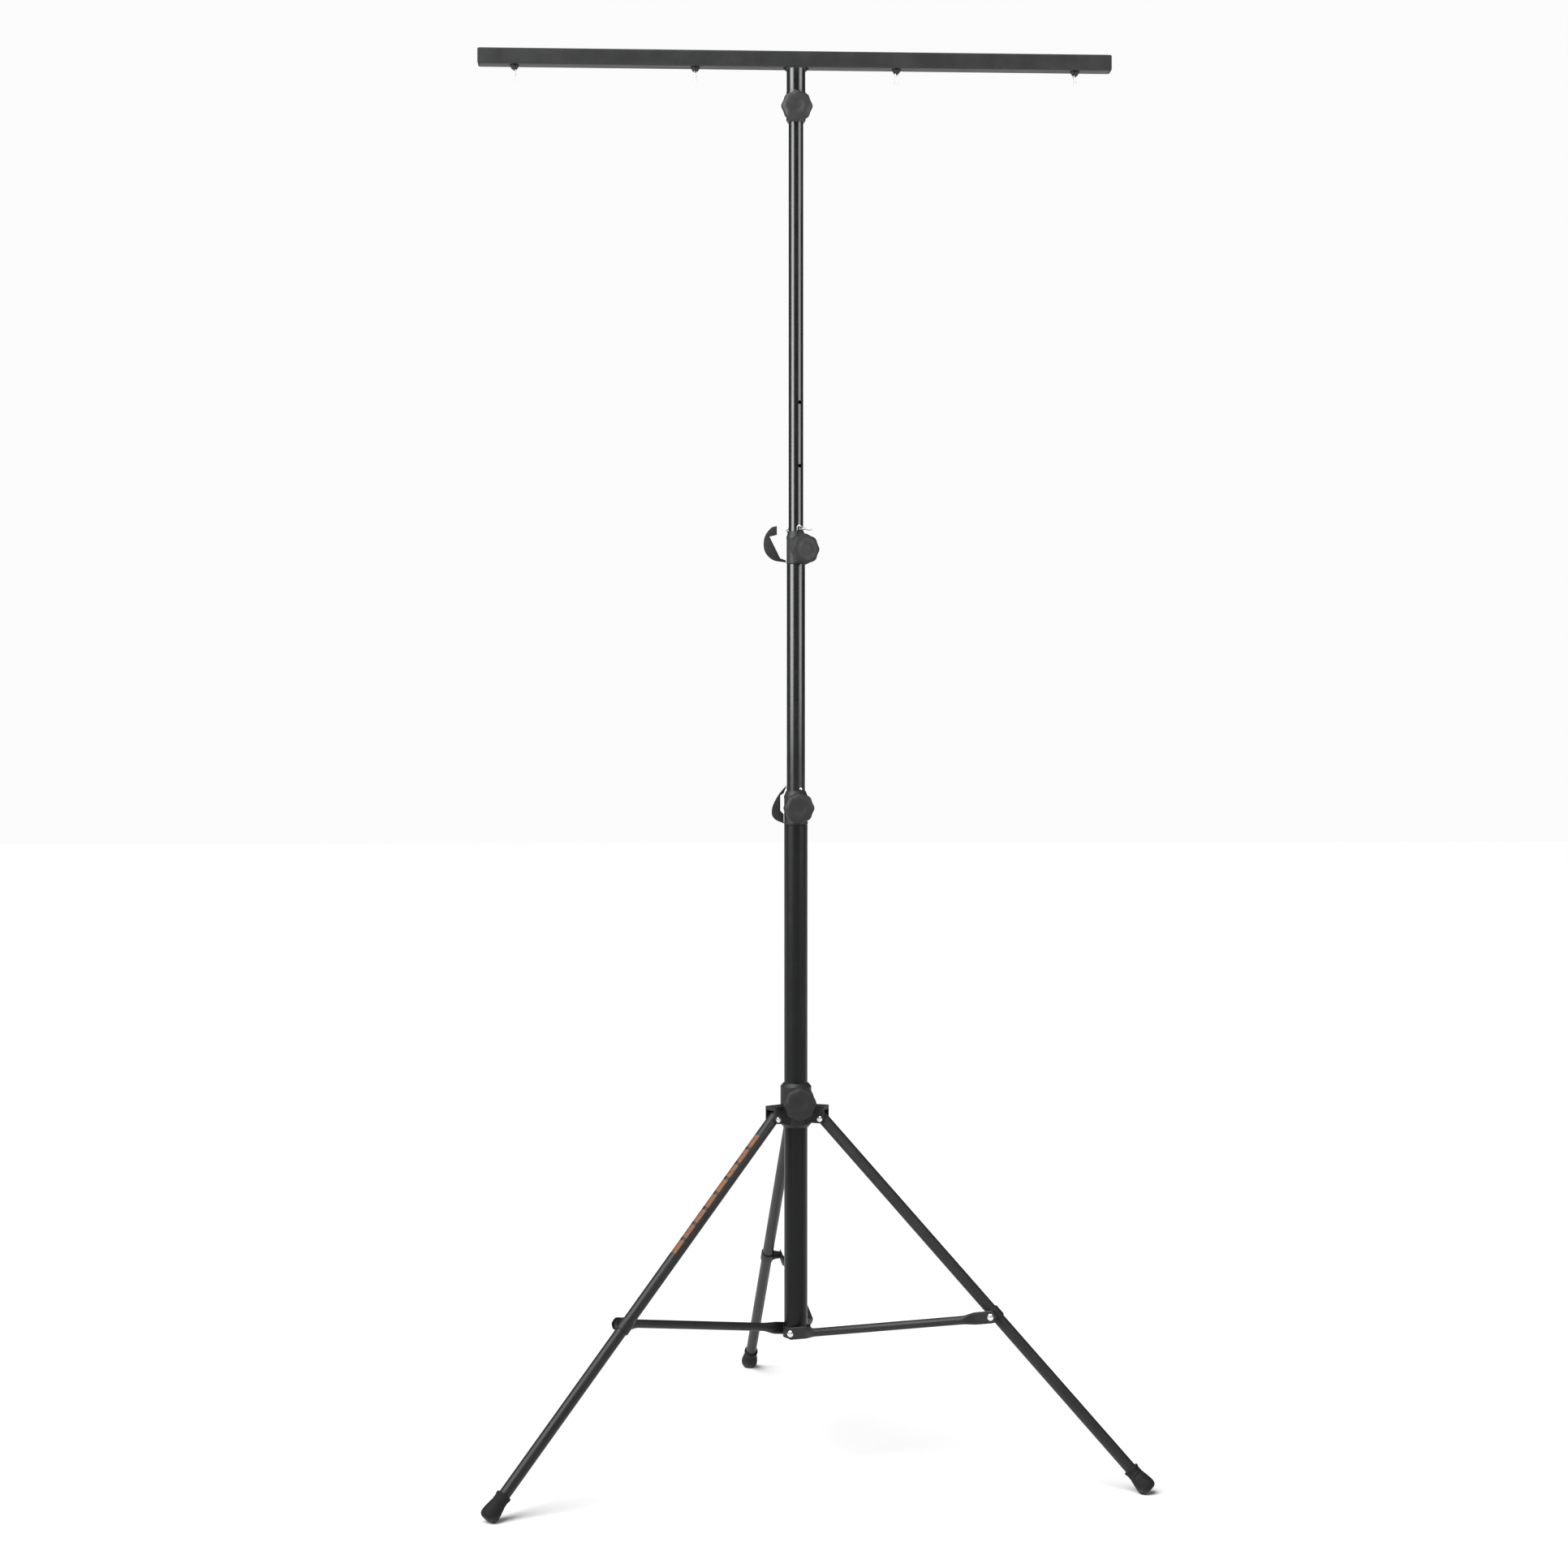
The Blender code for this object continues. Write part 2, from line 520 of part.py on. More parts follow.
def foot_mesh():
    """A rubber boot over the leg's end, flared to its sole and flat where it meets the floor."""
    start, pocket = LEG_LENGTH - 0.0440, LEG_LENGTH - 0.0120 + GAP
    inner = LEG_R + GAP
    boot = lathe([(0.0, LEG_LENGTH + 0.0080), (0.0105, LEG_LENGTH + 0.0076),
                  (0.0150, LEG_LENGTH + 0.0050), (0.0170, LEG_LENGTH),
                  (0.0172, LEG_LENGTH - 0.0060), (0.0150, LEG_LENGTH - 0.0200),
                  (0.0136, LEG_LENGTH - 0.0300), (0.0136, start + 0.0060),
                  (0.0146, start + 0.0050), (0.0146, start + 0.0006), (0.0140, start),
                  (inner, start), (inner, pocket), (0.0, pocket)])
    mesh = along_x(bake(boot))
    shape = bmesh.new()
    shape.from_mesh(mesh)
    # the floor in the leg's own axes
    floor_normal = Vector((math.sin(LEG_SLOPE), 0.0, -math.cos(LEG_SLOPE)))
    floor_point = Vector((LEG_LENGTH, 0.0, 0.0)) + floor_normal * FOOT_Z
    cut = bmesh.ops.bisect_plane(shape, geom=shape.verts[:] + shape.edges[:] + shape.faces[:],
                                 plane_co=floor_point, plane_no=floor_normal, clear_outer=True)
    rim = [item for item in cut["geom_cut"] if isinstance(item, bmesh.types.BMEdge)]
    bmesh.ops.contextual_create(shape, geom=rim)
    bmesh.ops.recalc_face_normals(shape, faces=shape.faces[:])
    shape.to_mesh(mesh)
    shape.free()
    return mesh


def bracket_mesh():
    """The band that holds a brace: a ring round the leg with a boss that reaches the brace."""
    inner = LEG_R + GAP
    half = 0.0110
    band = ring(inner + 0.0020, inner, -half, half)
    boss = lathe([(0.0, BRACE_FACE - GAP), (0.0075, BRACE_FACE - GAP), (0.0085, inner + 0.006),
                  (0.0095, inner + 0.001), (0.0, inner + 0.001)], ROUND)
    boss.rotation_euler.x = math.pi / 2
    bore = rod(inner, -0.02, 0.02, SIDES)
    return along_x(bake(joined(band, [boss]), [bore]))


def brace_mesh():
    """A brace along +X: a round tube crushed flat at both ends, flush with its inner side.

    Sections are lofted from a flat oval at each end to a circle between.  The inner side lies
    on -Y from the leg's middle plane, at BRACE_FACE.
    """
    end_r, width = 0.0100, 0.0118
    flat = BRACE_PLATE_T / 2
    sections = []
    for back in (1.0, 0.92, 0.7, 0.38, 0.0):
        sections.append((-end_r * back, max(width * math.sqrt(1.0 - (back * 0.96) ** 2), 0.001), flat))
    sections += [(0.030, width, flat), (0.052, BRACE_R, BRACE_R)]
    mirrored = [(BRACE_LENGTH - x, high, thick) for x, high, thick in reversed(sections)]
    mesh = bpy.data.meshes.new("brace")
    shape = bmesh.new()
    rows = []
    for x, high, thick in sections + mirrored:
        row = []
        for step in range(12):
            angle = 2 * math.pi * step / 12
            row.append(shape.verts.new((x, -BRACE_FACE - thick + thick * math.cos(angle),
                                        high * math.sin(angle))))
        rows.append(row)
    for one, two in zip(rows, rows[1:]):
        for step in range(12):
            after = (step + 1) % 12
            shape.faces.new((one[step], two[step], two[after], one[after]))
    shape.faces.new(rows[0])
    shape.faces.new(list(reversed(rows[-1])))
    bmesh.ops.recalc_face_normals(shape, faces=shape.faces[:])
    shape.to_mesh(mesh)
    shape.free()
    holes = []
    for x in (0.0, BRACE_LENGTH):
        hole = rod(PIVOT_R + GAP, BRACE_FACE - 0.01, BRACE_FACE + 0.02)
        hole.matrix_world = Matrix.Translation((x, 0.0, 0.0)) @ Matrix.Rotation(math.pi / 2, 4, "X")
        holes.append(hole)
    return bake(draft(mesh), holes)


def build_tripod(mast, hub, stations):
    bore = BASE_R + GAP
    collar_bottom, collar_top = BASE_BOTTOM + 0.0005, BRACE_Z + 0.0110
    boss_face = BRACE_FACE - GAP
    body = ring(bore + 0.0022, bore, collar_bottom, collar_top)
    additions, cutters = [], []
    for station in stations:
        turn = Matrix.Rotation(station.rotation_euler.z, 4, "Z")
        depth = boss_face - 0.014
        boss = block((0.0200, depth, collar_top - collar_bottom),
                     (0.0, -boss_face + depth / 2, (collar_top + collar_bottom) / 2))
        boss.matrix_world = turn
        additions.append(boss)
        hole = rod(PIVOT_R + GAP, bore + 0.0006, BRACE_FACE + 0.01)
        hole.matrix_world = turn @ Matrix.Translation((0.0, 0.0, BRACE_Z)) \
            @ Matrix.Rotation(math.pi / 2, 4, "X")
        cutters.append(hole)
    cutters.append(rod(bore, collar_bottom - 0.01, collar_top + 0.01, SIDES))
    place("brace_collar", bake(joined(body, additions), cutters), BLACK_CASTING, mast)

    leg, foot, bracket, brace = leg_mesh(), foot_mesh(), bracket_mesh(), brace_mesh()
    head = BRACE_FACE + BRACE_PLATE_T + GAP
    head_profile = [(0.0, head + 0.0024), (0.0035, head + 0.0020), (0.0062, head), (PIVOT_R, head)]
    inner_pin = bake(lathe([*head_profile, (PIVOT_R, bore + 0.0012), (0.0, bore + 0.0012)], ROUND))
    outer_pin = bake(lathe([*head_profile, (PIVOT_R, BRACE_FACE), (0.0, BRACE_FACE)], ROUND))
    across = (math.pi / 2, 0.0, 0.0)
    for number in (1, 2, 3):
        azimuth = station_azimuth(number)
        spoke = new_empty(f"collar_spoke_{number}", mast, azimuth=azimuth)
        place(f"collar_pin_{number}", inner_pin, ZINC, spoke, (0.0, 0.0, BRACE_Z), across)

        brace_axis = new_empty(f"brace_axis_{number}", spoke, (0.0, 0.0, BRACE_Z))
        brace_axis.rotation_euler.y = -BRACE_SLOPE
        place(f"brace_{number}", brace, BLACK_PAINT, brace_axis)
        place(f"brace_rivet_{number}", outer_pin, ZINC, brace_axis, (BRACE_LENGTH, 0.0, 0.0), across)

        hub_spoke = new_empty(f"hub_spoke_{number}", hub, azimuth=azimuth)
        leg_axis = new_empty(f"leg_axis_{number}", hub_spoke, (LEG_PIVOT_R, 0.0, LEG_PIVOT_Z))
        leg_axis.rotation_euler.y = LEG_SLOPE
        place(f"leg_{number}", leg, BLACK_PAINT, leg_axis)
        place(f"foot_{number}", foot, RUBBER, leg_axis)
        place(f"brace_bracket_{number}", bracket, BLACK_PAINT, leg_axis, (BRACE_ON_LEG, 0.0, 0.0))


def station_azimuth(number):
    return FIRST_LEG + 120.0 * (number - 1)


def centre_on_footprint(root):
    """Move the whole stand so that the middle of its box's floor is the origin."""
    bpy.context.view_layer.update()
    points = [obj.matrix_world @ vert.co
              for obj in STAND.objects if obj.type == "MESH" for vert in obj.data.vertices]
    for axis in range(2):
        values = [point[axis] for point in points]
        root.location[axis] -= round((min(values) + max(values)) / 2, 4)


# --- build ------------------------------------------------------------------------------------
FRONT = FIRST_LEG + 180.0           # midway between the two front legs
UPPER_KNOB_AZIMUTH = -66.0

clear_scene()
STAND = bpy.data.collections.new("lighting_stand")
bpy.context.scene.collection.children.link(STAND)

BLACK_PAINT = new_material("black_paint", (0.012, 0.012, 0.013), 0.30)
BLACK_CASTING = new_material("black_casting", (0.014, 0.014, 0.015), 0.50)
BLACK_PLASTIC = new_material("black_plastic", (0.020, 0.020, 0.021), 0.55)
RUBBER = new_material("rubber", (0.012, 0.012, 0.012), 0.85)
ZINC = new_material("zinc", (0.72, 0.73, 0.74), 0.28, 1.0)

mast_axis = new_empty("mast_axis")
hub_axis = new_empty("hub_axis", mast_axis)
middle_axis = new_empty("middle_axis", mast_axis)
top_axis = new_empty("top_axis", middle_axis)
t_bar_axis = new_empty("t_bar_axis", top_axis)
spokes = [new_empty(f"station_{n}", mast_axis, azimuth=station_azimuth(n)) for n in (1, 2, 3)]

build_mast(mast_axis, middle_axis, top_axis)
build_knobs_and_pins(mast_axis, middle_axis, t_bar_axis, hub_axis)
build_t_bar(t_bar_axis)
build_hub(hub_axis, spokes)
build_tripod(mast_axis, hub_axis, spokes)
centre_on_footprint(mast_axis)
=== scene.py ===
"""Telescoping tripod lighting stand with a T-bar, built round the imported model.

Lengths are metres, +Z is up, +X runs along the T-bar and -Y is the side of the knobs.
"""

import json
import math

import bmesh
import bpy
from bpy.props import FloatProperty, FloatVectorProperty, IntProperty, PointerProperty
from mathutils import Matrix, Vector


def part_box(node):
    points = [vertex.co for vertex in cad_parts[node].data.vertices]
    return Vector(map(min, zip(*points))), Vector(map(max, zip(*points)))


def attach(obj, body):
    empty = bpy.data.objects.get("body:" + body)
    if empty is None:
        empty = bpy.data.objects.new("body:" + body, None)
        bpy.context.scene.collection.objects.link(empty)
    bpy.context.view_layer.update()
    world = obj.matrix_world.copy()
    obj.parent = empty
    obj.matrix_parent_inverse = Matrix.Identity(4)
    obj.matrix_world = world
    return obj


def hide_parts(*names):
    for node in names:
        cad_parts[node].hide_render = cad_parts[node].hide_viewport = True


bl_info = {
    "name": "Lighting Stand",
    "version": (1, 0, 0),
    "blender": (4, 5, 0),
    "location": "View3D > Sidebar > Stand",
    "description": "Builds a telescoping tripod lighting stand with a T-bar",
    "category": "Add Mesh",
}

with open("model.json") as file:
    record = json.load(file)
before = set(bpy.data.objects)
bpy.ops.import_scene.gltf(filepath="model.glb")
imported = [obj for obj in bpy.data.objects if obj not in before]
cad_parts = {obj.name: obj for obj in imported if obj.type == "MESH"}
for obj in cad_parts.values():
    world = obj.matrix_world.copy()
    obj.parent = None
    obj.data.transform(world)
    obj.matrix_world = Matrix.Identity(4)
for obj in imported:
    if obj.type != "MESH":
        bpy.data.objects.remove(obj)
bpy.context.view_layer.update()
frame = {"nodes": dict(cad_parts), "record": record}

# --- places, read from the frame --------------------------------------------------------------
JOINTS = {joint["name"]: joint for joint in frame["record"]["behaviour"]["joints"]}
UP = Vector((0.0, 0.0, 1.0))


def middle(node):
    low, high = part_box(node)
    return (low + high) / 2


def tube_of(node):
    """The outer radius, bottom and top of an upright round CAD node."""
    low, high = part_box(node)
    return (high.y - low.y) / 2, low.z, high.z


def hinge(name):
    joint = JOINTS[name]
    return Vector(joint["pos_m"]), Vector(joint["axis"])


MAST = Vector((*middle("base_tube").xy, 0.0))
LEG_NUMBERS = (1, 2, 3)
HANGER_NUMBERS = (1, 2, 3, 4)

BASE_R, BASE_BOTTOM, BASE_TOP = tube_of("base_tube")
MIDDLE_R, MIDDLE_BOTTOM, MIDDLE_TOP = tube_of("middle_tube")
TOP_R, TOP_BOTTOM, TOP_TOP = tube_of("top_tube")
HUB_R = 0.0298
CLEAR = 0.0003               # gap between pieces that touch
HUB_BOTTOM, HUB_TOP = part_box("hub")[0].z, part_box("hub")[1].z
BAR_LOW, BAR_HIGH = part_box("t_bar")
BAR_SIZE = BAR_HIGH.z - BAR_LOW.z
BAR_Z = (BAR_LOW.z + BAR_HIGH.z) / 2
UNDERSIDE = BAR_LOW.z - CLEAR

# legs and braces, each in its own axes: X runs along it from its inner pivot
LEG_SLOPE, LEG_LENGTH = 0.791658, 0.903700
LEG_R = 0.0110
LUG_SLOT = LEG_R + 0.0006    # half the gap between a leg's two lugs
LUG_OUTER = LUG_SLOT + 0.0040
BRACE_ON_LEG = 0.490987
BRACE_SLOPE, BRACE_LENGTH = 0.163170, 0.405385
BRACE_FACE = 0.0260         # inner side of a brace, beside its leg's middle plane
BRACE_R, PLATE_HALF = 0.0080, 0.0015
FOOT_Z = 0.0120

# heights of the clamps' feet, and how far out from the mast's axis the knobs sit
CLAMP_FEET = {"lower": 1.2165, "upper": 1.7155}
KNOB_SEATS = {"hub_knob": 0.0400, "lower_knob": 0.0310, "upper_knob": 0.0270,
              "sleeve_knob": 0.0280}
LARGE_KNOB_EXTRA = 0.0025    # the hub's knob is this much larger in radius
HOLE_R = 0.0043              # holes for the knobs' screws and the legs' rivets

# locking pins: both lie along one azimuth, and the top tube has three holes
PIN_AZIMUTH, PIN_HOLE_R, HOLE_PITCH = -61.0, 0.0036, 0.1209
LOWER_PIN_Z, UPPER_PIN_Z = middle("lower_pin_tip").z, middle("upper_pin_tip").z
PIN_TIPS = {"lower_pin": 0.0205, "upper_pin": 0.0340}

# plain bars along the upper side of one leg, measured from its pivot
MARKED_LEG = 2
MARK_START, MARK_PITCH, MARK_LENGTH, MARK_COUNT = 0.0475, 0.0360, 0.0290, 8
MARK_EDGES = -0.0062, 0.0078

# the camera, seen from the mast's foot, and the softboxes at its two sides
CAMERA_PLACE = MAST + Vector((-0.2351, -4.8229, 1.3699))
CAMERA_TILT, CAMERA_PAN, CAMERA_SHIFT = 88.717, -2.52, 0.01086
SOFTBOX_TALL, SOFTBOX_FRONT, SOFTBOX_Z, SOFTBOX_SPREAD = 2.7, -1.76, 2.78, 84.0
SOFTBOX_AIM = Vector((0.0, -0.15, 2.6))


# --- sizes and colours that a user may change -------------------------------------------------
class StandSizes(bpy.types.PropertyGroup):
    wall: FloatProperty(name="Tube wall", description="Wall of the mast, legs and bar",
                        default=0.0015, min=0.0008, max=0.0030, unit="LENGTH")
    tube_sides: IntProperty(name="Tube sides", description="Facets round the mast tubes",
                            default=72, min=24, max=128)
    edge: FloatProperty(name="Cast edge", description="Rounding of the castings' edges",
                        default=0.0009, min=0.0002, max=0.0020, unit="LENGTH")
    bar_corner: FloatProperty(name="Bar corner", description="Corner radius of the cross bar",
                              default=0.0026, min=0.0010, max=0.0080, unit="LENGTH")
    knob_lobes: IntProperty(name="Knob lobes", description="Lobes round each screw knob",
                            default=8, min=5, max=12)
    knob_radius: FloatProperty(name="Knob radius", description="Reach of a knob's lobes",
                               default=0.0300, min=0.0200, max=0.0320, unit="LENGTH")
    thread_pitch: FloatProperty(name="Thread pitch", description="Pitch of the hanger bolts",
                                default=0.0010, min=0.0005, max=0.0020, unit="LENGTH")


class StandFinish(bpy.types.PropertyGroup):
    enamel: FloatVectorProperty(name="Enamel", description="Gloss black of the mast tubes",
                                default=(0.0040, 0.0042, 0.0045), subtype="COLOR")
    satin: FloatVectorProperty(name="Satin paint", description="Black of the legs and the bar",
                               default=(0.0125, 0.0127, 0.0132), subtype="COLOR")
    casting: FloatVectorProperty(name="Casting", description="Black of the hub and clamps",
                                 default=(0.0070, 0.0072, 0.0076), subtype="COLOR")
    plastic: FloatVectorProperty(name="Plastic", description="Black of the knobs and straps",
                                 default=(0.0105, 0.0107, 0.0111), subtype="COLOR")
    rubber: FloatVectorProperty(name="Rubber", description="Black of the feet",
                                default=(0.0085, 0.0085, 0.0086), subtype="COLOR")
    zinc: FloatVectorProperty(name="Zinc", description="Bright bolts, rivets and pins",
                              default=(0.78, 0.79, 0.80), subtype="COLOR")
    marks: FloatVectorProperty(name="Marks", description="Plain bars printed on one leg",
                               default=(0.165, 0.064, 0.020), subtype="COLOR")
    gloss: FloatProperty(name="Enamel roughness", description="Roughness of the mast tubes",
                         default=0.20, min=0.05, max=0.60, subtype="FACTOR")


class StudioSettings(bpy.types.PropertyGroup):
    lens: FloatProperty(name="Lens", description="Focal length of the camera in millimetres",
                        default=57.757, min=20.0, max=200.0)
    left: FloatProperty(name="Left softbox", description="Watts of the left softbox",
                        default=54.0, min=0.0)
    right: FloatProperty(name="Right softbox", description="Watts of the right softbox",
                         default=29.0, min=0.0)
    overhead: FloatProperty(name="Overhead", description="Strength of the even light from above",
                            default=4.0, min=0.0)
    floor: FloatVectorProperty(name="Floor", description="Colour of the plain floor",
                               default=(0.86, 0.86, 0.86), subtype="COLOR")
    surround: FloatProperty(name="Surround", description="Brightness of the plain surround",
                            default=0.15, min=0.0, max=2.0)


def sizes():
    return bpy.context.scene.stand_sizes


def finish_settings():
    return bpy.context.scene.stand_finish


# --- modelling steps --------------------------------------------------------------------------
def deselect():
    if bpy.context.mode != "OBJECT":
        bpy.ops.object.mode_set(mode="OBJECT")
    bpy.ops.object.select_all(action="DESELECT")


def activate(piece):
    deselect()
    piece.select_set(True)
    bpy.context.view_layer.objects.active = piece
    return piece


def started(name):
    piece = bpy.context.object
    piece.name = piece.data.name = name
    return piece


def pick(piece, kind, test):
    """In edit mode, select only what passes a test of its middle and its normal or direction."""
    bpy.ops.mesh.select_mode(type=kind)
    bpy.ops.mesh.select_all(action="DESELECT")
    mesh = bmesh.from_edit_mesh(piece.data)
    for item in {"EDGE": mesh.edges, "VERT": mesh.verts}[kind]:
        if kind == "EDGE":
            ends = [vert.co for vert in item.verts]
            centre, lie = (ends[0] + ends[1]) / 2, (ends[1] - ends[0]).normalized()
        else:
            centre, lie = item.co, item.normal
        if test(centre, lie):
            item.select = True
    mesh.select_flush_mode()
    bmesh.update_edit_mesh(piece.data)


def face_outwards():
    """In edit mode, weld the whole piece and turn its faces outwards."""
    bpy.ops.mesh.select_mode(type="VERT")
    bpy.ops.mesh.select_all(action="SELECT")
    bpy.ops.mesh.remove_doubles(threshold=1e-6)
    bpy.ops.mesh.normals_make_consistent(inside=False)
    bpy.ops.object.mode_set(mode="OBJECT")


def drawn(name, sections, sides=48, ring=False, corner=None):
    """Draw a section up Z by extruding and scaling it from one section to the next.

    A section is (height, half width) or (height, half width X, half width Y, centre X,
    centre Y).  The outline is round, or square with rounded corners where corner gives the
    corner's share of the half width.  A ring's sections go round its wall and come back.
    """
    rows = [(*row, row[1], 0.0, 0.0) if len(row) == 2 else row for row in sections]
    deselect()
    if corner is None:
        bpy.ops.mesh.primitive_circle_add(vertices=sides, radius=1.0, fill_type="NGON")
    else:
        bpy.ops.mesh.primitive_plane_add(size=2.0)
    piece = started(name)
    bpy.ops.object.mode_set(mode="EDIT")
    bpy.ops.mesh.select_all(action="SELECT")
    if corner is not None:
        bpy.ops.mesh.bevel(affect="VERTICES", offset=corner, segments=5, profile=0.5)
        bpy.ops.mesh.select_all(action="SELECT")
    if ring:
        bpy.ops.mesh.delete(type="ONLY_FACE")
        bpy.ops.mesh.select_mode(type="EDGE")
        bpy.ops.mesh.select_all(action="SELECT")
    height, wide, deep, x, y = rows[0]
    bpy.ops.transform.resize(value=(wide, deep, 1.0), center_override=(0.0, 0.0, 0.0))
    bpy.ops.transform.translate(value=(x, y, height))
    for before, after in zip(rows, rows[1:]):
        step = (after[3] - before[3], after[4] - before[4], after[0] - before[0])
        bpy.ops.mesh.extrude_region_move(TRANSFORM_OT_translate={"value": step})
        grow = (after[1] / before[1], after[2] / before[2], 1.0)
        bpy.ops.transform.resize(value=grow, center_override=(after[3], after[4], after[0]))
    face_outwards()
    return piece


def cuboid(name, size, centre):
    """A block, to be shaped further."""
    deselect()
    bpy.ops.mesh.primitive_cube_add(size=1.0, location=centre, scale=size)
    piece = started(name)
    bpy.ops.object.transform_apply(location=True, rotation=True, scale=True)
    return piece


def settled(piece, *moves):
    """Put a piece in its place and keep the place in its mesh."""
    place = Matrix.Identity(4)
    for move in moves:
        place = place @ move
    activate(piece)
    piece.matrix_world = place
    bpy.ops.object.transform_apply(location=True, rotation=True, scale=True)
    return piece


def shift(x=0.0, y=0.0, z=0.0):
    return Matrix.Translation((x, y, z))


def spin(degrees, axis="Z"):
    return Matrix.Rotation(math.radians(degrees), 4, axis)


def outward(azimuth, height=0.0):
    """Axes on the mast whose Z points out at an azimuth and whose X points down."""
    return Matrix.Translation(MAST) @ shift(z=height) @ spin(azimuth) @ spin(90.0, "Y")


def with_modifier(piece, kind, **settings):
    activate(piece)
    modifier = piece.modifiers.new(kind.lower(), kind)
    for key, value in settings.items():
        setattr(modifier, key, value)
    bpy.ops.object.modifier_apply(modifier=modifier.name)
    return piece


def combined(piece, others, operation):
    for other in others:
        with_modifier(piece, "BOOLEAN", object=other, operation=operation, solver="EXACT")
        discard(other)
    return piece


def united(piece, *others):
    return combined(piece, others, "UNION")


def cut(piece, *others):
    return combined(piece, others, "DIFFERENCE")


def edged(piece, width, degrees=40.0):
    """Round the sharp edges of a piece, then clean what the cuts left."""
    with_modifier(piece, "BEVEL", width=width, segments=2, limit_method="ANGLE",
                  angle_limit=math.radians(degrees), use_clamp_overlap=True,
                  miter_outer="MITER_ARC")
    bpy.ops.object.mode_set(mode="EDIT")
    bpy.ops.mesh.select_all(action="SELECT")
    bpy.ops.mesh.dissolve_degenerate(threshold=1e-5)
    face_outwards()
    return piece


def copied(piece, name):
    twin = piece.copy()
    twin.data = piece.data.copy()
    twin.name = twin.data.name = name
    bpy.context.scene.collection.objects.link(twin)
    return twin


def discard(*pieces):
    for piece in pieces:
        bpy.data.objects.remove(piece, do_unlink=True)


def added(name, data):
    """A new object of some data, in the scene."""
    made = bpy.data.objects.new(name, data)
    bpy.context.scene.collection.objects.link(made)
    return made


def curve_made_mesh(name, curve, points, kinds, closed=False):
    """Run one spline through points, then make the curve a mesh with its faces outwards."""
    spline = curve.splines.new("BEZIER")
    spline.use_cyclic_u = closed
    spline.bezier_points.add(len(points) - 1)
    for point, place, kind in zip(spline.bezier_points, points, kinds):
        point.co = place
        point.handle_left_type = point.handle_right_type = kind
    activate(added(name, curve))
    bpy.ops.object.convert(target="MESH")
    bpy.ops.object.mode_set(mode="EDIT")
    face_outwards()
    return bpy.context.object


def done(piece, material, body, nodes, degrees=32.0):
    """Finish a piece: smooth it, paint it, hide the CAD nodes that it stands in for, and tie it
    to its body.
    """
    activate(piece)
    bpy.ops.object.shade_smooth_by_angle(angle=math.radians(degrees))
    piece.data.materials.clear()
    piece.data.materials.append(material)
    if nodes:
        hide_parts(*nodes)
    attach(piece, body)
    return piece


# --- shader maths -----------------------------------------------------------------------------
class Value:
    """A number in a node tree; Python's operators on it add Math nodes."""

    def __init__(self, finish, socket):
        self.finish, self.socket = finish, socket

    def math(self, operation, *others):
        return self.finish.node("ShaderNodeMath", {"operation": operation}, self, *others)

    def from_left(self, operation, other):
        return self.finish.node("ShaderNodeMath", {"operation": operation}, other, self)

    def __add__(self, other):
        return self.math("ADD", other)

    def __radd__(self, other):
        return self.from_left("ADD", other)

    def __sub__(self, other):
        return self.math("SUBTRACT", other)

    def __rsub__(self, other):
        return self.from_left("SUBTRACT", other)

    def __mul__(self, other):
        return self.math("MULTIPLY", other)

    def __rmul__(self, other):
        return self.from_left("MULTIPLY", other)

    def __gt__(self, other):
        return self.math("GREATER_THAN", other)

    def __lt__(self, other):
        return self.math("LESS_THAN", other)

    def rise(self, low, high):
        """0 below low, 1 above high and smooth between."""
        return self.finish.node("ShaderNodeMapRange", {"interpolation_type": "SMOOTHSTEP"},
                                self, low, high, 0.0, 1.0)


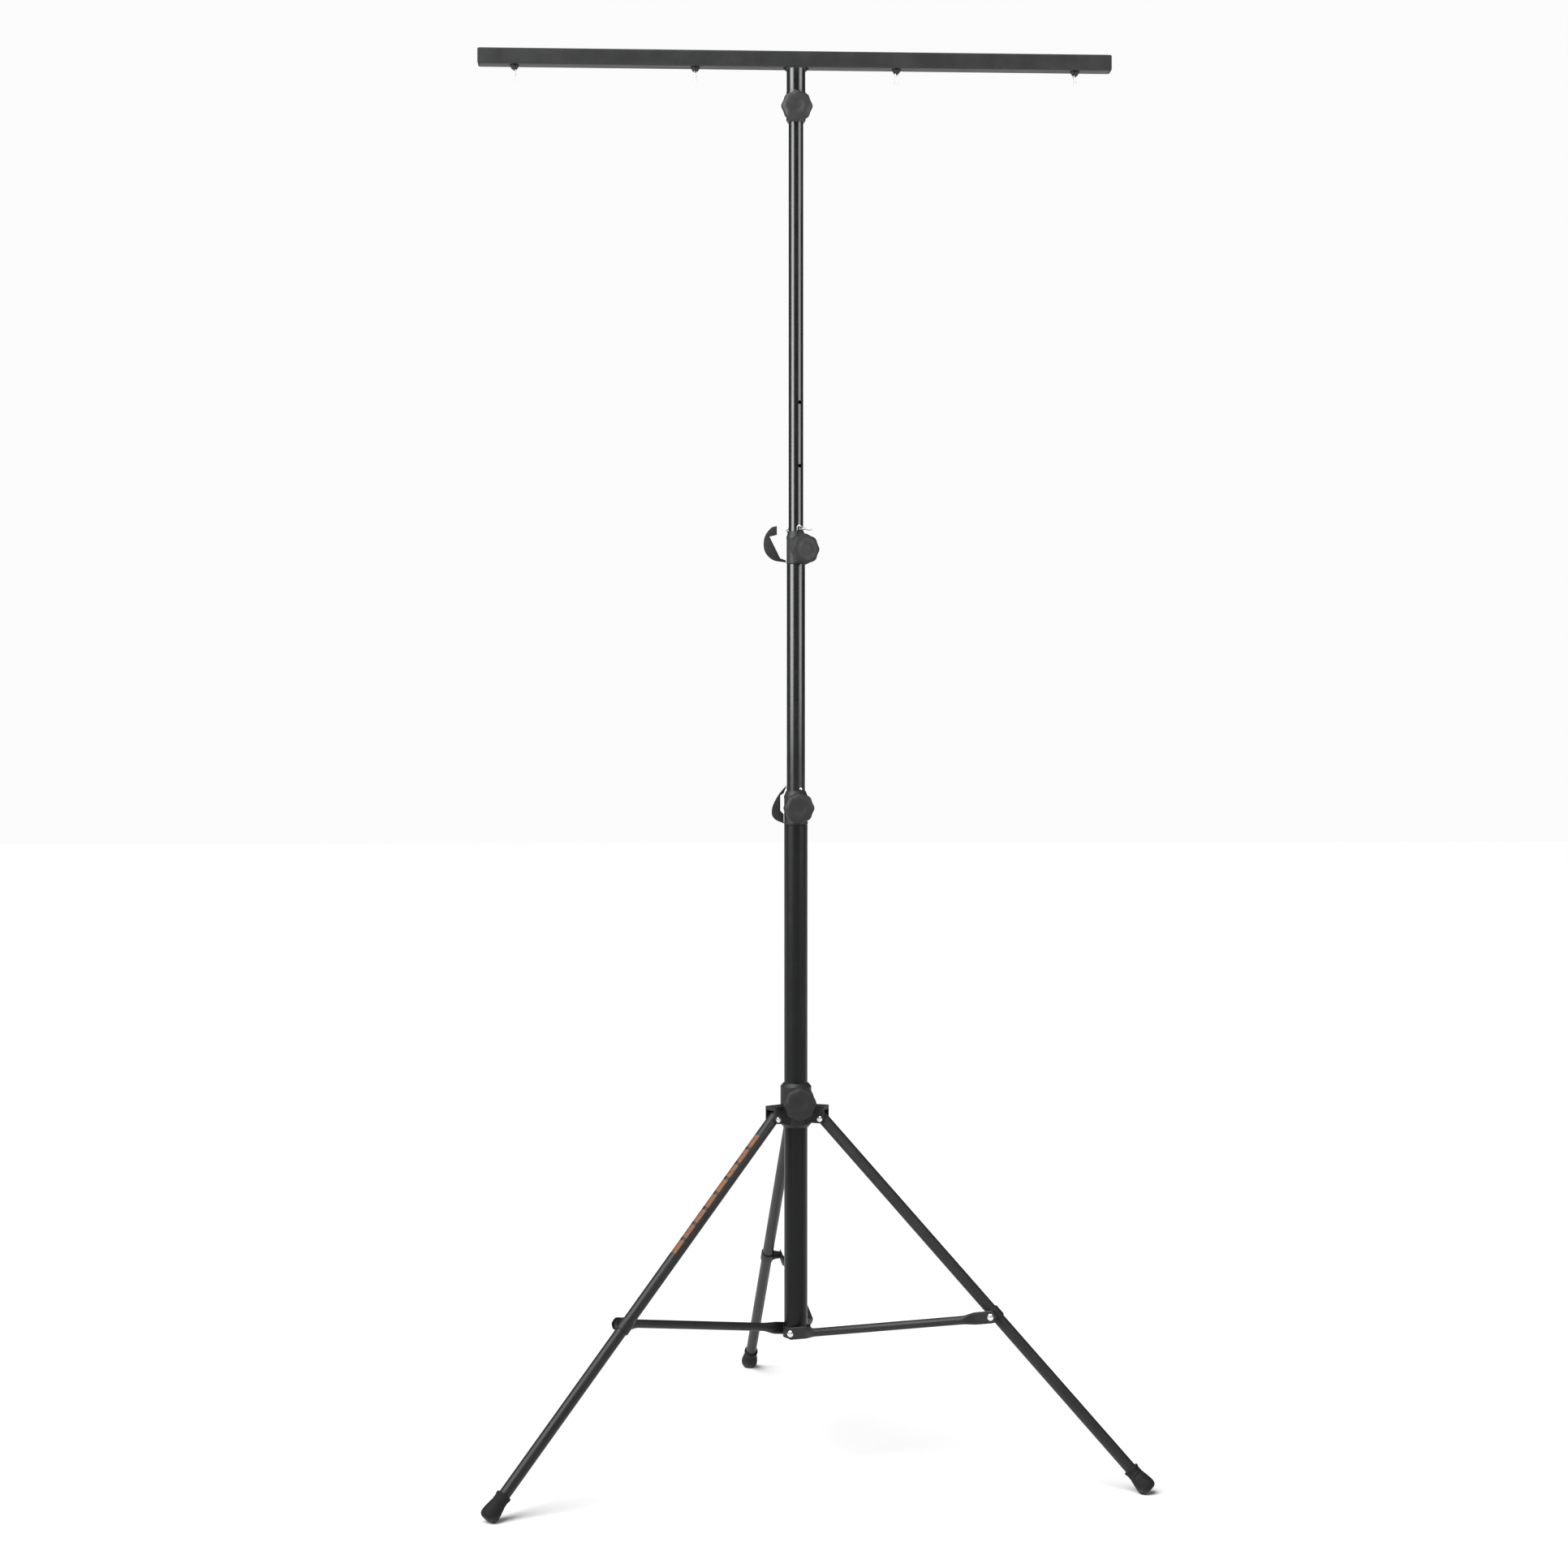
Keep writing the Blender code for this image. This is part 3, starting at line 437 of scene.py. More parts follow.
class Finish:
    """A material whose shader is fed by a few named steps."""

    def __init__(self, name, colour, roughness, metallic=0.0, specular=0.5):
        self.material = bpy.data.materials.new(name)
        self.material.use_nodes = True
        self.tree = self.material.node_tree
        self.shader = self.tree.nodes["Principled BSDF"]
        self.shader.inputs["Base Color"].default_value = (*colour, 1.0)
        self.shader.inputs["Roughness"].default_value = roughness
        self.shader.inputs["Metallic"].default_value = metallic
        self.shader.inputs["Specular IOR Level"].default_value = specular
        self.material.diffuse_color = (*colour, 1.0)

    def node(self, kind, settings, *values, output=0, **named):
        made = self.tree.nodes.new(kind)
        for key, value in settings.items():
            setattr(made, key, value)
        for key, value in [*enumerate(values), *named.items()]:
            socket = made.inputs[key if isinstance(key, int) else key.replace("_", " ")]
            if isinstance(value, Value):
                self.tree.links.new(value.socket, socket)
            elif value is not None:
                socket.default_value = value
        return Value(self, made.outputs[output])

    def place(self, stretch=(1.0, 1.0, 1.0)):
        """Object coordinates, stretched."""
        spot = self.node("ShaderNodeTexCoord", {}, output="Object")
        return self.node("ShaderNodeMapping", {"vector_type": "POINT"}, spot, Scale=stretch)

    def noise(self, scale, detail=3.0, roughness=0.5, stretch=(1.0, 1.0, 1.0)):
        return self.node("ShaderNodeTexNoise", {}, Vector=self.place(stretch), Scale=scale,
                         Detail=detail, Roughness=roughness, output="Fac")

    def cells(self, scale):
        return self.node("ShaderNodeTexVoronoi", {"feature": "F1"}, Vector=self.place(),
                         Scale=scale, output="Distance")

    def axis(self, letter):
        return self.node("ShaderNodeSeparateXYZ", {}, self.place(), output=letter)

    def mix(self, share, one, other):
        """Blend two colours by a value."""
        made = self.tree.nodes.new("ShaderNodeMix")
        made.data_type = "RGBA"
        for socket, value in zip((made.inputs[0], made.inputs[6], made.inputs[7]),
                                 (share, one, other)):
            if isinstance(value, Value):
                self.tree.links.new(value.socket, socket)
            else:
                socket.default_value = value if isinstance(value, float) else (*value, 1.0)
        return Value(self, made.outputs[2])

    def feed(self, name, value):
        self.tree.links.new(value.socket, self.shader.inputs[name])

    def bump(self, height, distance, strength=1.0):
        self.feed("Normal", self.node("ShaderNodeBump", {}, Height=height, Distance=distance,
                                      Strength=strength, output="Normal"))


def tinted(colour, factor):
    return tuple(min(1.0, channel * factor) for channel in colour)


MATERIALS = {}


def enamel(name, gloss, specular):
    """Stoved gloss black on the mast: orange peel, long slide scuffs and a little dust."""
    look = finish_settings()
    made = Finish(name, look.enamel, gloss, specular=specular)
    streaks = made.noise(260.0, 4.0, 0.6, (1.0, 1.0, 0.012)).rise(0.56, 0.74)
    patches = made.noise(9.0, 3.0).rise(0.42, 0.70)
    scuffs = streaks * patches
    haze = made.noise(34.0, 4.0, 0.6).rise(0.35, 0.8)
    dust = (1.0 - made.cells(420.0)).rise(0.86, 0.95) * made.noise(60.0, 2.0).rise(0.5, 0.7)
    colour = made.mix(haze * 0.5, look.enamel, tinted(look.enamel, 1.7))
    colour = made.mix(scuffs * 0.40 + dust * 0.25, colour, (0.045, 0.046, 0.048))
    made.feed("Base Color", colour)
    made.feed("Roughness", gloss + haze * 0.05 + scuffs * 0.14 + dust * 0.2)
    made.bump(made.noise(700.0, 2.0) - scuffs * 0.4, 0.00002)
    return made.material


def satin_paint(name, marks=None):
    """Satin black powder coat with fine grain, a light haze and small rubbed spots."""
    look = finish_settings()
    made = Finish(name, look.satin, 0.40, specular=0.30)
    grain = made.noise(900.0, 3.0, 0.6)
    haze = made.noise(22.0, 4.0, 0.6).rise(0.3, 0.8)
    rubs = made.noise(48.0, 5.0, 0.7).rise(0.64, 0.78) * made.noise(7.0, 2.0).rise(0.45, 0.65)
    chips = (1.0 - made.cells(150.0)).rise(0.90, 0.97) * made.noise(30.0, 2.0).rise(0.60, 0.72)
    colour = made.mix(haze * 0.6, look.satin, tinted(look.satin, 1.5))
    colour = made.mix(rubs * 0.5 + chips * 0.4, colour, (0.085, 0.085, 0.086))
    rough = 0.36 + haze * 0.08 + grain * 0.08 + rubs * 0.10
    height = grain * 0.8 + made.noise(240.0, 2.0) * 0.7 - chips * 0.6
    if marks:
        inked = marks(made)
        worn = inked * (1.0 - made.noise(260.0, 4.0, 0.7).rise(0.48, 0.70) * 0.8)
        colour = made.mix(worn, colour, look.marks)
        rough = rough + inked * 0.10
        height = height + inked * 0.3
    made.feed("Base Color", colour)
    made.feed("Roughness", rough)
    made.bump(height, 0.00014)
    return made.material


def leg_azimuth(number):
    tangent = hinge(f"leg_{number}_fold")[1]
    return math.degrees(math.atan2(-tangent.x, tangent.y))


def leg_axes(number):
    """Axes of a leg: X runs down it from its pivot, Z is the normal of its upper side."""
    pivot = hinge(f"leg_{number}_fold")[0]
    slope = Matrix.Rotation(LEG_SLOPE, 4, "Y")
    return Matrix.Translation(pivot) @ spin(leg_azimuth(number)) @ slope


def leg_marks(made):
    """Equal plain bars at an even spacing along the upper side of one leg."""
    axes = leg_axes(MARKED_LEG).inverted()
    spot = made.node("ShaderNodeTexCoord", {}, output="Object")
    along, across, out = [
        made.node("ShaderNodeVectorMath", {"operation": "DOT_PRODUCT"}, spot,
                  tuple(axes[row][:3]), output="Value") + axes[row][3]
        for row in range(3)]
    inside = 0.0
    for bar in range(MARK_COUNT):
        start = MARK_START + bar * MARK_PITCH
        inside = (along > start) * (along < start + MARK_LENGTH) + inside
    band = (across > MARK_EDGES[0]) * (across < MARK_EDGES[1]) * (out > 0.0)
    return inside * band


def casting_paint():
    """Black paint over a sand casting: coarse grain, dull hollows and rubbed high spots."""
    look = finish_settings()
    made = Finish("casting_paint", look.casting, 0.48, specular=0.35)
    grain = made.noise(420.0, 4.0, 0.65)
    cloud = made.noise(60.0, 3.0).rise(0.3, 0.75)
    rubs = made.noise(130.0, 4.0, 0.7).rise(0.62, 0.78)
    colour = made.mix(cloud * 0.6, look.casting, tinted(look.casting, 1.6))
    made.feed("Base Color", made.mix(rubs * 0.35, colour, (0.060, 0.061, 0.063)))
    made.feed("Roughness", 0.40 + cloud * 0.10 + grain * 0.12)
    made.bump(grain + made.noise(120.0, 2.0) * 0.6, 0.00035)
    return made.material


def moulded_plastic(name, colour, roughness):
    """Spark-textured black plastic with slight shine where hands have polished it."""
    made = Finish(name, colour, roughness, specular=0.35)
    spark = made.noise(1300.0, 3.0, 0.7)
    pits = made.cells(900.0)
    shine = made.noise(70.0, 3.0).rise(0.45, 0.75)
    flow = made.noise(30.0, 2.0, 0.4, (1.0, 1.0, 3.0))
    made.feed("Base Color", made.mix(flow, tinted(colour, 0.8), tinted(colour, 1.3)))
    made.feed("Roughness", roughness + spark * 0.14 - shine * 0.10)
    made.bump(spark * 0.7 + pits * 0.5, 0.00020)
    return made.material


def boot_rubber():
    """Dull black rubber with scuffs, and floor dust round the sole."""
    look = finish_settings()
    made = Finish("boot_rubber", look.rubber, 0.80, specular=0.3)
    grain = made.noise(520.0, 4.0, 0.6)
    scuffs = made.noise(120.0, 5.0, 0.7).rise(0.55, 0.74)
    low = 1.0 - made.axis("Z").rise(0.002, 0.016)
    dusty = low * made.noise(200.0, 4.0, 0.7).rise(0.40, 0.66)
    colour = made.mix(scuffs * 0.4, look.rubber, tinted(look.rubber, 2.4))
    made.feed("Base Color", made.mix(dusty * 0.55, colour, (0.16, 0.15, 0.14)))
    made.feed("Roughness", 0.72 + grain * 0.12 + dusty * 0.1)
    made.bump(grain + scuffs * 0.5, 0.00030)
    return made.material


def bright_zinc():
    """Bright zinc plate on steel: turned lines, clouding and a few dull spots."""
    look = finish_settings()
    made = Finish("bright_zinc", look.zinc, 0.26, 1.0)
    cloud = made.noise(240.0, 3.0).rise(0.3, 0.75)
    spots = (1.0 - made.cells(700.0)).rise(0.84, 0.95)
    turned = made.noise(900.0, 2.0, 0.5, (0.15, 0.15, 1.0))
    colour = made.mix(cloud * 0.6, look.zinc, (0.60, 0.615, 0.63))
    made.feed("Base Color", made.mix(spots * 0.5, colour, (0.40, 0.40, 0.41)))
    made.feed("Roughness", 0.20 + cloud * 0.12 + spots * 0.25)
    made.bump(turned + spots * -0.4, 0.00008)
    return made.material


def mix_finishes():
    look = finish_settings()
    MATERIALS["enamel"] = enamel("mast_enamel", look.gloss, 0.5)
    MATERIALS["lower_enamel"] = enamel("lower_mast_enamel", look.gloss + 0.12, 0.22)
    MATERIALS["satin"] = satin_paint("satin_paint")
    MATERIALS["marked"] = satin_paint("marked_leg_paint", leg_marks)
    MATERIALS["casting"] = casting_paint()
    MATERIALS["plastic"] = moulded_plastic("knob_plastic", look.plastic, 0.50)
    MATERIALS["strap"] = moulded_plastic("strap_plastic", tinted(look.plastic, 0.6), 0.46)
    MATERIALS["rubber"] = boot_rubber()
    MATERIALS["zinc"] = bright_zinc()


# --- mast -------------------------------------------------------------------------------------
def round_tube(name, radius, bottom, top):
    """A tube up the mast with broken edges at both ends."""
    wall, brk = sizes().wall, 0.0004
    inner = radius - wall
    rows = [(bottom + brk, radius), (top - brk, radius), (top, radius - brk), (top, inner + brk),
            (top - brk, inner), (bottom + brk, inner), (bottom, inner + brk),
            (bottom, radius - brk), (bottom + brk, radius)]
    tube = drawn(name, rows, sizes().tube_sides, ring=True)
    return settled(tube, Matrix.Translation(MAST))


def pin_holes(tube, heights):
    """Drill an upright tube right through for its locking pin."""
    for height in heights:
        drill = drawn("drill", [(-0.05, PIN_HOLE_R), (0.05, PIN_HOLE_R)], 24)
        cut(tube, settled(drill, outward(PIN_AZIMUTH, height)))


class STAND_OT_mast(bpy.types.Operator):
    """Build the three nested mast tubes with their locking holes"""

    bl_idname = "stand.mast"
    bl_label = "Mast tubes"

    def execute(self, context):
        base = round_tube("lower_mast_tube", BASE_R, BASE_BOTTOM, BASE_TOP)
        done(base, MATERIALS["lower_enamel"], "mast", ["base_tube"])
        second = round_tube("middle_mast_tube", MIDDLE_R, MIDDLE_BOTTOM, MIDDLE_TOP)
        pin_holes(second, [LOWER_PIN_Z])
        done(second, MATERIALS["enamel"], "middle_section", ["middle_tube"])
        third = round_tube("top_mast_tube", TOP_R, TOP_BOTTOM, TOP_TOP)
        pin_holes(third, [UPPER_PIN_Z + step * HOLE_PITCH for step in range(3)])
        done(third, MATERIALS["enamel"], "top_section", ["top_tube"])
        return {"FINISHED"}


# --- clamps and straps ------------------------------------------------------------------------
def screw_hole():
    return drawn("drill", [(0.0, HOLE_R), (0.06, HOLE_R)], 32)


def screw_boss(piece, knob, bore, shoulder):
    """Raise a knob's boss on a round casting, from its bore out to the knob, and drill it."""
    place, seat = outward(knob_azimuth(knob), knob_height(knob)), KNOB_SEATS[knob]
    boss = drawn("boss", [(bore + 0.0012, 0.0120), (shoulder, 0.0112), (seat - 0.0008, 0.0104),
                          (seat, 0.0096)], 40)
    united(piece, settled(boss, place))
    cut(piece, settled(screw_hole(), place))


def clamp(level, outer, bore, crown):
    """A mast clamp: a collar with a rolled foot, a coned top and a boss for its knob."""
    brk, foot = 0.0006, CLAMP_FEET[level]
    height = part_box(level + "_clamp")[1].z - foot
    rows = [(0.0, outer - brk), (brk, outer), (0.0050, outer), (0.0056, outer - 0.0004),
            (height - 0.0150, outer - 0.0004), (height - 0.0142, outer), (height - 0.0100, outer),
            (height - 0.0080, outer - 0.0012), (height - brk, crown), (height, crown - brk),
            (height, bore + brk), (height - brk, bore), (0.0, bore), (0.0, outer - brk)]
    collar = drawn(level + "_mast_clamp", rows, sizes().tube_sides, ring=True)
    settled(collar, shift(*MAST.xy, foot))
    screw_boss(collar, level + "_knob", bore, outer + 0.0010)
    return edged(collar, 0.0005)


# each strap: sharp corners by the mast, then a rounded back
LOWER_STRAP = (((-0.0234, 0.0020), (-0.0234, 0.0200), (-0.0300, 0.0270), (-0.0300, 0.0560),
                (-0.0236, 0.0600), (-0.0205, 0.0680), (-0.0182, 0.0760)),
               ((-0.0380, 0.0500), (-0.0465, 0.0230), (-0.0430, 0.0130)))
UPPER_STRAP = (((-0.0195, 0.0030), (-0.0195, 0.0075), (-0.0300, 0.0110), (-0.0505, 0.0525),
                (-0.0365, 0.0560), (-0.0365, 0.0730)),
               ((-0.0480, 0.0690), (-0.0620, 0.0360), (-0.0490, 0.0110)))


def strap(level, sharp, rounded):
    """A flat moulded strap with rounded rims, drawn as a filled curve and made a mesh."""
    name, rim, half = level + "_pin_strap", 0.0005, 0.0010
    curve = bpy.data.curves.new(name, "CURVE")
    curve.dimensions, curve.fill_mode = "2D", "BOTH"
    curve.extrude, curve.bevel_depth, curve.bevel_resolution = half - rim, rim, 2
    curve.offset = -rim
    curve.resolution_u = curve.render_resolution_u = 10
    points = [(x, z, 0.0) for x, z in sharp + rounded]
    kinds = ["VECTOR"] * len(sharp) + ["AUTO"] * len(rounded)
    piece = curve_made_mesh(name, curve, points, kinds, closed=True)
    return settled(piece, shift(*MAST.xy, CLAMP_FEET[level]), spin(90.0, "X"))


class STAND_OT_clamps(bpy.types.Operator):
    """Build the two mast clamps and the plastic straps that hold their pins"""

    bl_idname = "stand.clamps"
    bl_label = "Mast clamps"

    def execute(self, context):
        lower = clamp("lower", BASE_R + 0.0005, MIDDLE_R + CLEAR, MIDDLE_R + 0.0015)
        done(lower, MATERIALS["casting"], "mast", ["lower_clamp"])
        upper = clamp("upper", MIDDLE_R + 0.0008, TOP_R + CLEAR, TOP_R + 0.0018)
        done(upper, MATERIALS["casting"], "middle_section", ["upper_clamp"])
        lower = strap("lower", *LOWER_STRAP)
        done(lower, MATERIALS["strap"], "mast", ["lower_strap"])
        upper = strap("upper", *UPPER_STRAP)
        done(upper, MATERIALS["strap"], "middle_section", ["upper_strap"])
        return {"FINISHED"}


# --- knobs and pins ---------------------------------------------------------------------------
def knob_azimuth(name):
    axis = hinge(name + "_turn")[1]
    return math.degrees(math.atan2(axis.y, axis.x))


def knob_height(name):
    return hinge(name + "_turn")[0].z


def knob_shape(name, reach):
    """A lobed knob along Z: neck, flared skirt, scalloped grip, bevel and a dished face."""
    lobes = sizes().knob_lobes
    rows = [(0.0, 0.0118), (0.0006, 0.0124), (0.0034, 0.0126), (0.0052, 0.0190),
            (0.0068, reach - 0.0020), (0.0082, reach), (0.0140, reach - 0.0008),
            (0.0168, reach - 0.0020), (0.0190, reach - 0.0062), (0.0200, reach - 0.0090),
            (0.0200, 0.0120), (0.0196, 0.0112), (0.0196, 0.0030)]
    knob = drawn(name, rows, lobes * 8)
    bpy.ops.object.mode_set(mode="EDIT")
    mesh = bmesh.from_edit_mesh(knob.data)
    for vert in mesh.verts:
        radius = math.hypot(vert.co.x, vert.co.y)
        depth = max(0.0, min(1.0, (radius - 0.0150) / 0.0120))
        wave = 0.5 - 0.5 * math.cos(lobes * math.atan2(vert.co.y, vert.co.x))
        shrink = 1.0 - 0.070 * depth * wave
        vert.co.x *= shrink
        vert.co.y *= shrink
    bmesh.update_edit_mesh(knob.data)
    bpy.ops.object.mode_set(mode="OBJECT")
    return knob


class STAND_OT_knobs(bpy.types.Operator):
    """Build the four lobed screw knobs"""

    bl_idname = "stand.knobs"
    bl_label = "Screw knobs"

    def execute(self, context):
        small = knob_shape("knob_pattern", sizes().knob_radius)
        large = knob_shape("large_knob_pattern", sizes().knob_radius + LARGE_KNOB_EXTRA)
        for name, seat in KNOB_SEATS.items():
            knob = copied(large if name == "hub_knob" else small, name + "_grip")
            settled(knob, outward(knob_azimuth(name), knob_height(name)), shift(z=seat + CLEAR))
            done(knob, MATERIALS["plastic"], name, [name], 28.0)
        discard(small, large)
        return {"FINISHED"}


def wire(name, points, radius):
    """A bent wire through points, made a mesh."""
    curve = bpy.data.curves.new(name, "CURVE")
    curve.dimensions = "3D"
    curve.bevel_depth, curve.bevel_resolution, curve.use_fill_caps = radius, 4, True
    curve.resolution_u = curve.render_resolution_u = 8
    return curve_made_mesh(name, curve, points, ["AUTO"] * len(points))


def pin(name, height, tube_r):
    """A locking pin: a bullet tip on one side of its tube, a grooved head on the other."""
    clear, tip = tube_r + CLEAR, PIN_TIPS[name]
    end = drawn(name + "_end", [(clear, 0.0028), (clear + 0.0003, 0.0030), (tip - 0.0022, 0.0030),
                                (tip - 0.0009, 0.0025), (tip - 0.0002, 0.0016),
                                (tip, 0.0008)], 28)
    settled(end, outward(PIN_AZIMUTH, height))
    done(end, MATERIALS["zinc"], name, [name + "_tip"])
    rows = [(clear, 0.0030), (0.0228, 0.0030), (0.0231, 0.0025), (0.0239, 0.0025),
            (0.0242, 0.0030), (0.0255, 0.0030), (0.0258, 0.0046), (0.0262, 0.0050),
            (0.0282, 0.0050), (0.0287, 0.0045), (0.0290, 0.0028)]
    shank = settled(drawn(name + "_head", rows, 28), outward(PIN_AZIMUTH + 180.0, height))
    done(shank, MATERIALS["zinc"], name, [name + "_shank"])


class STAND_OT_pins(bpy.types.Operator):
    """Build the two locking pins and the wire keeper at the upper one's tip"""

    bl_idname = "stand.pins"
    bl_label = "Locking pins"

    def execute(self, context):
        pin("lower_pin", LOWER_PIN_Z, MIDDLE_R)
        pin("upper_pin", UPPER_PIN_Z, TOP_R)
        lie = Vector((0.485, -0.875, 0.0))
        hub = MAST + lie * 0.0300 + UP * UPPER_PIN_Z
        root = MAST + Vector((0.0010, -0.0156, UPPER_PIN_Z - 0.0052))
        bends = [root, root + Vector((0.0004, -0.0050, 0.0040))]
        bends += [hub + Vector(step) for step in (
            (-0.0120, -0.0010, 0.0052), (-0.0060, -0.0036, 0.0046), (0.0, -0.0042, 0.0),
            (0.0070, -0.0038, -0.0032), (0.0150, -0.0028, -0.0026), (0.0205, -0.0010, -0.0004))]
        clip = wire("upper_pin_clip", bends, 0.0009)
        done(clip, MATERIALS["zinc"], "middle_section", [])
        return {"FINISHED"}


# --- T-bar ------------------------------------------------------------------------------------
def along_bar(piece, turn=90.0):
    """Lay a piece that was drawn up Z along the bar, with its top to the right or the left."""
    return settled(piece, shift(MAST.x, MAST.y, BAR_Z), spin(turn, "Y"))


class STAND_OT_t_bar(bpy.types.Operator):
    """Build the square cross bar, its end caps and the sleeve that holds it"""

    bl_idname = "stand.t_bar"
    bl_label = "Cross bar"

    def execute(self, context):
        half, reach = BAR_SIZE / 2, (BAR_HIGH.x - BAR_LOW.x) / 2
        inner = half - sizes().wall
        corner, brk = sizes().bar_corner / half, 0.0003
        rows = [(-reach + brk, half), (reach - brk, half), (reach, half - brk), (reach, inner),
                (-reach, inner), (-reach, half - brk), (-reach + brk, half)]
        rows = [(x, size, size, 0.0, 0.0) for x, size in rows]
        bar = drawn("cross_bar", rows, ring=True, corner=corner)
        along_bar(bar)
        done(bar, MATERIALS["satin"], "t_bar", ["t_bar"])

        lip = [(reach + CLEAR - 0.014, inner - CLEAR), (reach + CLEAR, inner - CLEAR),
               (reach + CLEAR, half - 0.0002), (reach + 0.0028, half - 0.0002),
               (reach + 0.0038, half - 0.0010), (reach + 0.0043, half - 0.0026),
               (reach + 0.0043, half - 0.0060), (reach + 0.0040, half - 0.0064),
               (reach + 0.0040, 0.0020)]
        cap = drawn("cross_bar_cap_right", lip, corner=corner)
        other = copied(cap, "cross_bar_cap_left")
        along_bar(cap)
        along_bar(other, -90.0)
        done(cap, MATERIALS["plastic"], "t_bar", ["bar_cap_right"])
        done(other, MATERIALS["plastic"], "t_bar", ["bar_cap_left"])

        sleeve = self.sleeve()
        done(sleeve, MATERIALS["enamel"], "t_bar", ["bar_sleeve"])
        return {"FINISHED"}

    def sleeve(self):
        foot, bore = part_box("bar_sleeve")[0].z, TOP_R + CLEAR
        radius, thick = 0.0178, 0.0185
        rows = [(foot, bore + 0.0014), (foot + 0.0012, bore + 0.0024), (foot + 0.0050, thick),
                (foot + 0.0580, thick), (foot + 0.0590, radius), (UNDERSIDE - 0.0030, radius),
                (UNDERSIDE - 0.0012, radius + 0.0006), (UNDERSIDE, radius + 0.0014),
                (UNDERSIDE, bore), (foot, bore), (foot, bore + 0.0014)]
        sleeve = settled(drawn("cross_bar_sleeve", rows, sizes().tube_sides, ring=True),
                         Matrix.Translation(MAST))
        for side in (-1.0, 1.0):
            gusset = cuboid("gusset", (0.0120, 0.0060, 0.0085),
                            (MAST.x + side * 0.0188, MAST.y, UNDERSIDE - 0.00425))
            bpy.ops.object.mode_set(mode="EDIT")
            pick(gusset, "VERT", lambda spot, _: spot.z < UNDERSIDE - 0.004
                 and (spot.x - MAST.x) * side > 0.0200)
            bpy.ops.transform.translate(value=(0.0, 0.0, 0.0080))
            bpy.ops.object.mode_set(mode="OBJECT")
            united(sleeve, gusset)
        screw_boss(sleeve, "sleeve_knob", bore, thick + 0.0005)
        return edged(sleeve, 0.0004)


def threaded_bolt(name):
    """A hanger bolt down from the bar's top: domed head, plain neck and thread."""
    crown, end = BAR_HIGH.z + CLEAR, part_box("hanger_bolt_1")[0].z
    pitch = sizes().thread_pitch
    rows = [(crown + 0.0026, 0.0012), (crown + 0.0024, 0.0030), (crown + 0.0018, 0.0047),
            (crown + 0.0009, 0.0059), (crown, 0.0062), (crown, 0.0029), (UNDERSIDE, 0.0029)]
    turns = int((UNDERSIDE - end - 0.0020) / pitch)
    for turn in range(turns):
        height = UNDERSIDE - 0.0002 - turn * pitch
        rows += [(height - pitch * 0.5, 0.0025), (height - pitch, 0.0029)]
    rows += [(end + 0.0006, 0.0026), (end, 0.0018)]
    return drawn(name, rows, 20)


def wing_nut(name):
    """A coned nut hanging below zero with two rounded wings along Y."""
    rows = [(0.0, 0.0080), (-0.0004, 0.0088), (-0.0016, 0.0088), (-0.0028, 0.0078),
            (-0.0068, 0.0052), (-0.0075, 0.0046), (-0.0075, 0.0032), (0.0, 0.0032),
            (0.0, 0.0080)]
    nut = drawn(name, rows, 36, ring=True)
    plate = [(-0.0013, 0.0050, 0.0042), (-0.0009, 0.0054, 0.0046), (0.0009, 0.0054, 0.0046),
             (0.0013, 0.0050, 0.0042)]
    for offset in (-0.0084, 0.0084):
        wing = drawn("wing", [(*row, 0.0, offset) for row in plate], 28)
        united(nut, settled(wing, shift(z=-0.0068), spin(90.0, "Y")))
    return edged(nut, 0.0003, 45.0)


class STAND_OT_hangers(bpy.types.Operator):
    """Build the four hanger bolts and their wing nuts"""

    bl_idname = "stand.hangers"
    bl_label = "Hanger bolts"

    def execute(self, context):
        bolt, nut = threaded_bolt("bolt_pattern"), wing_nut("nut_pattern")
        for number in HANGER_NUMBERS:
            x = middle(f"hanger_bolt_{number}").x
            shank = copied(bolt, f"hanger_{number}_bolt")
            settled(shank, shift(x, MAST.y, 0.0))
            done(shank, MATERIALS["zinc"], "t_bar", [f"hanger_bolt_{number}"])
            wings = copied(nut, f"hanger_{number}_nut")
            settled(wings, shift(x, MAST.y, UNDERSIDE))
            done(wings, MATERIALS["casting"], f"wing_nut_{number}", [f"wing_nut_{number}"])
        discard(bolt, nut)
        return {"FINISHED"}


# --- hub --------------------------------------------------------------------------------------
def leg_pivot():
    """Reach from the mast's axis and height of the legs' pivots."""
    place = hinge("leg_1_fold")[0]
    return math.hypot(place.x - MAST.x, place.y - MAST.y), place.z


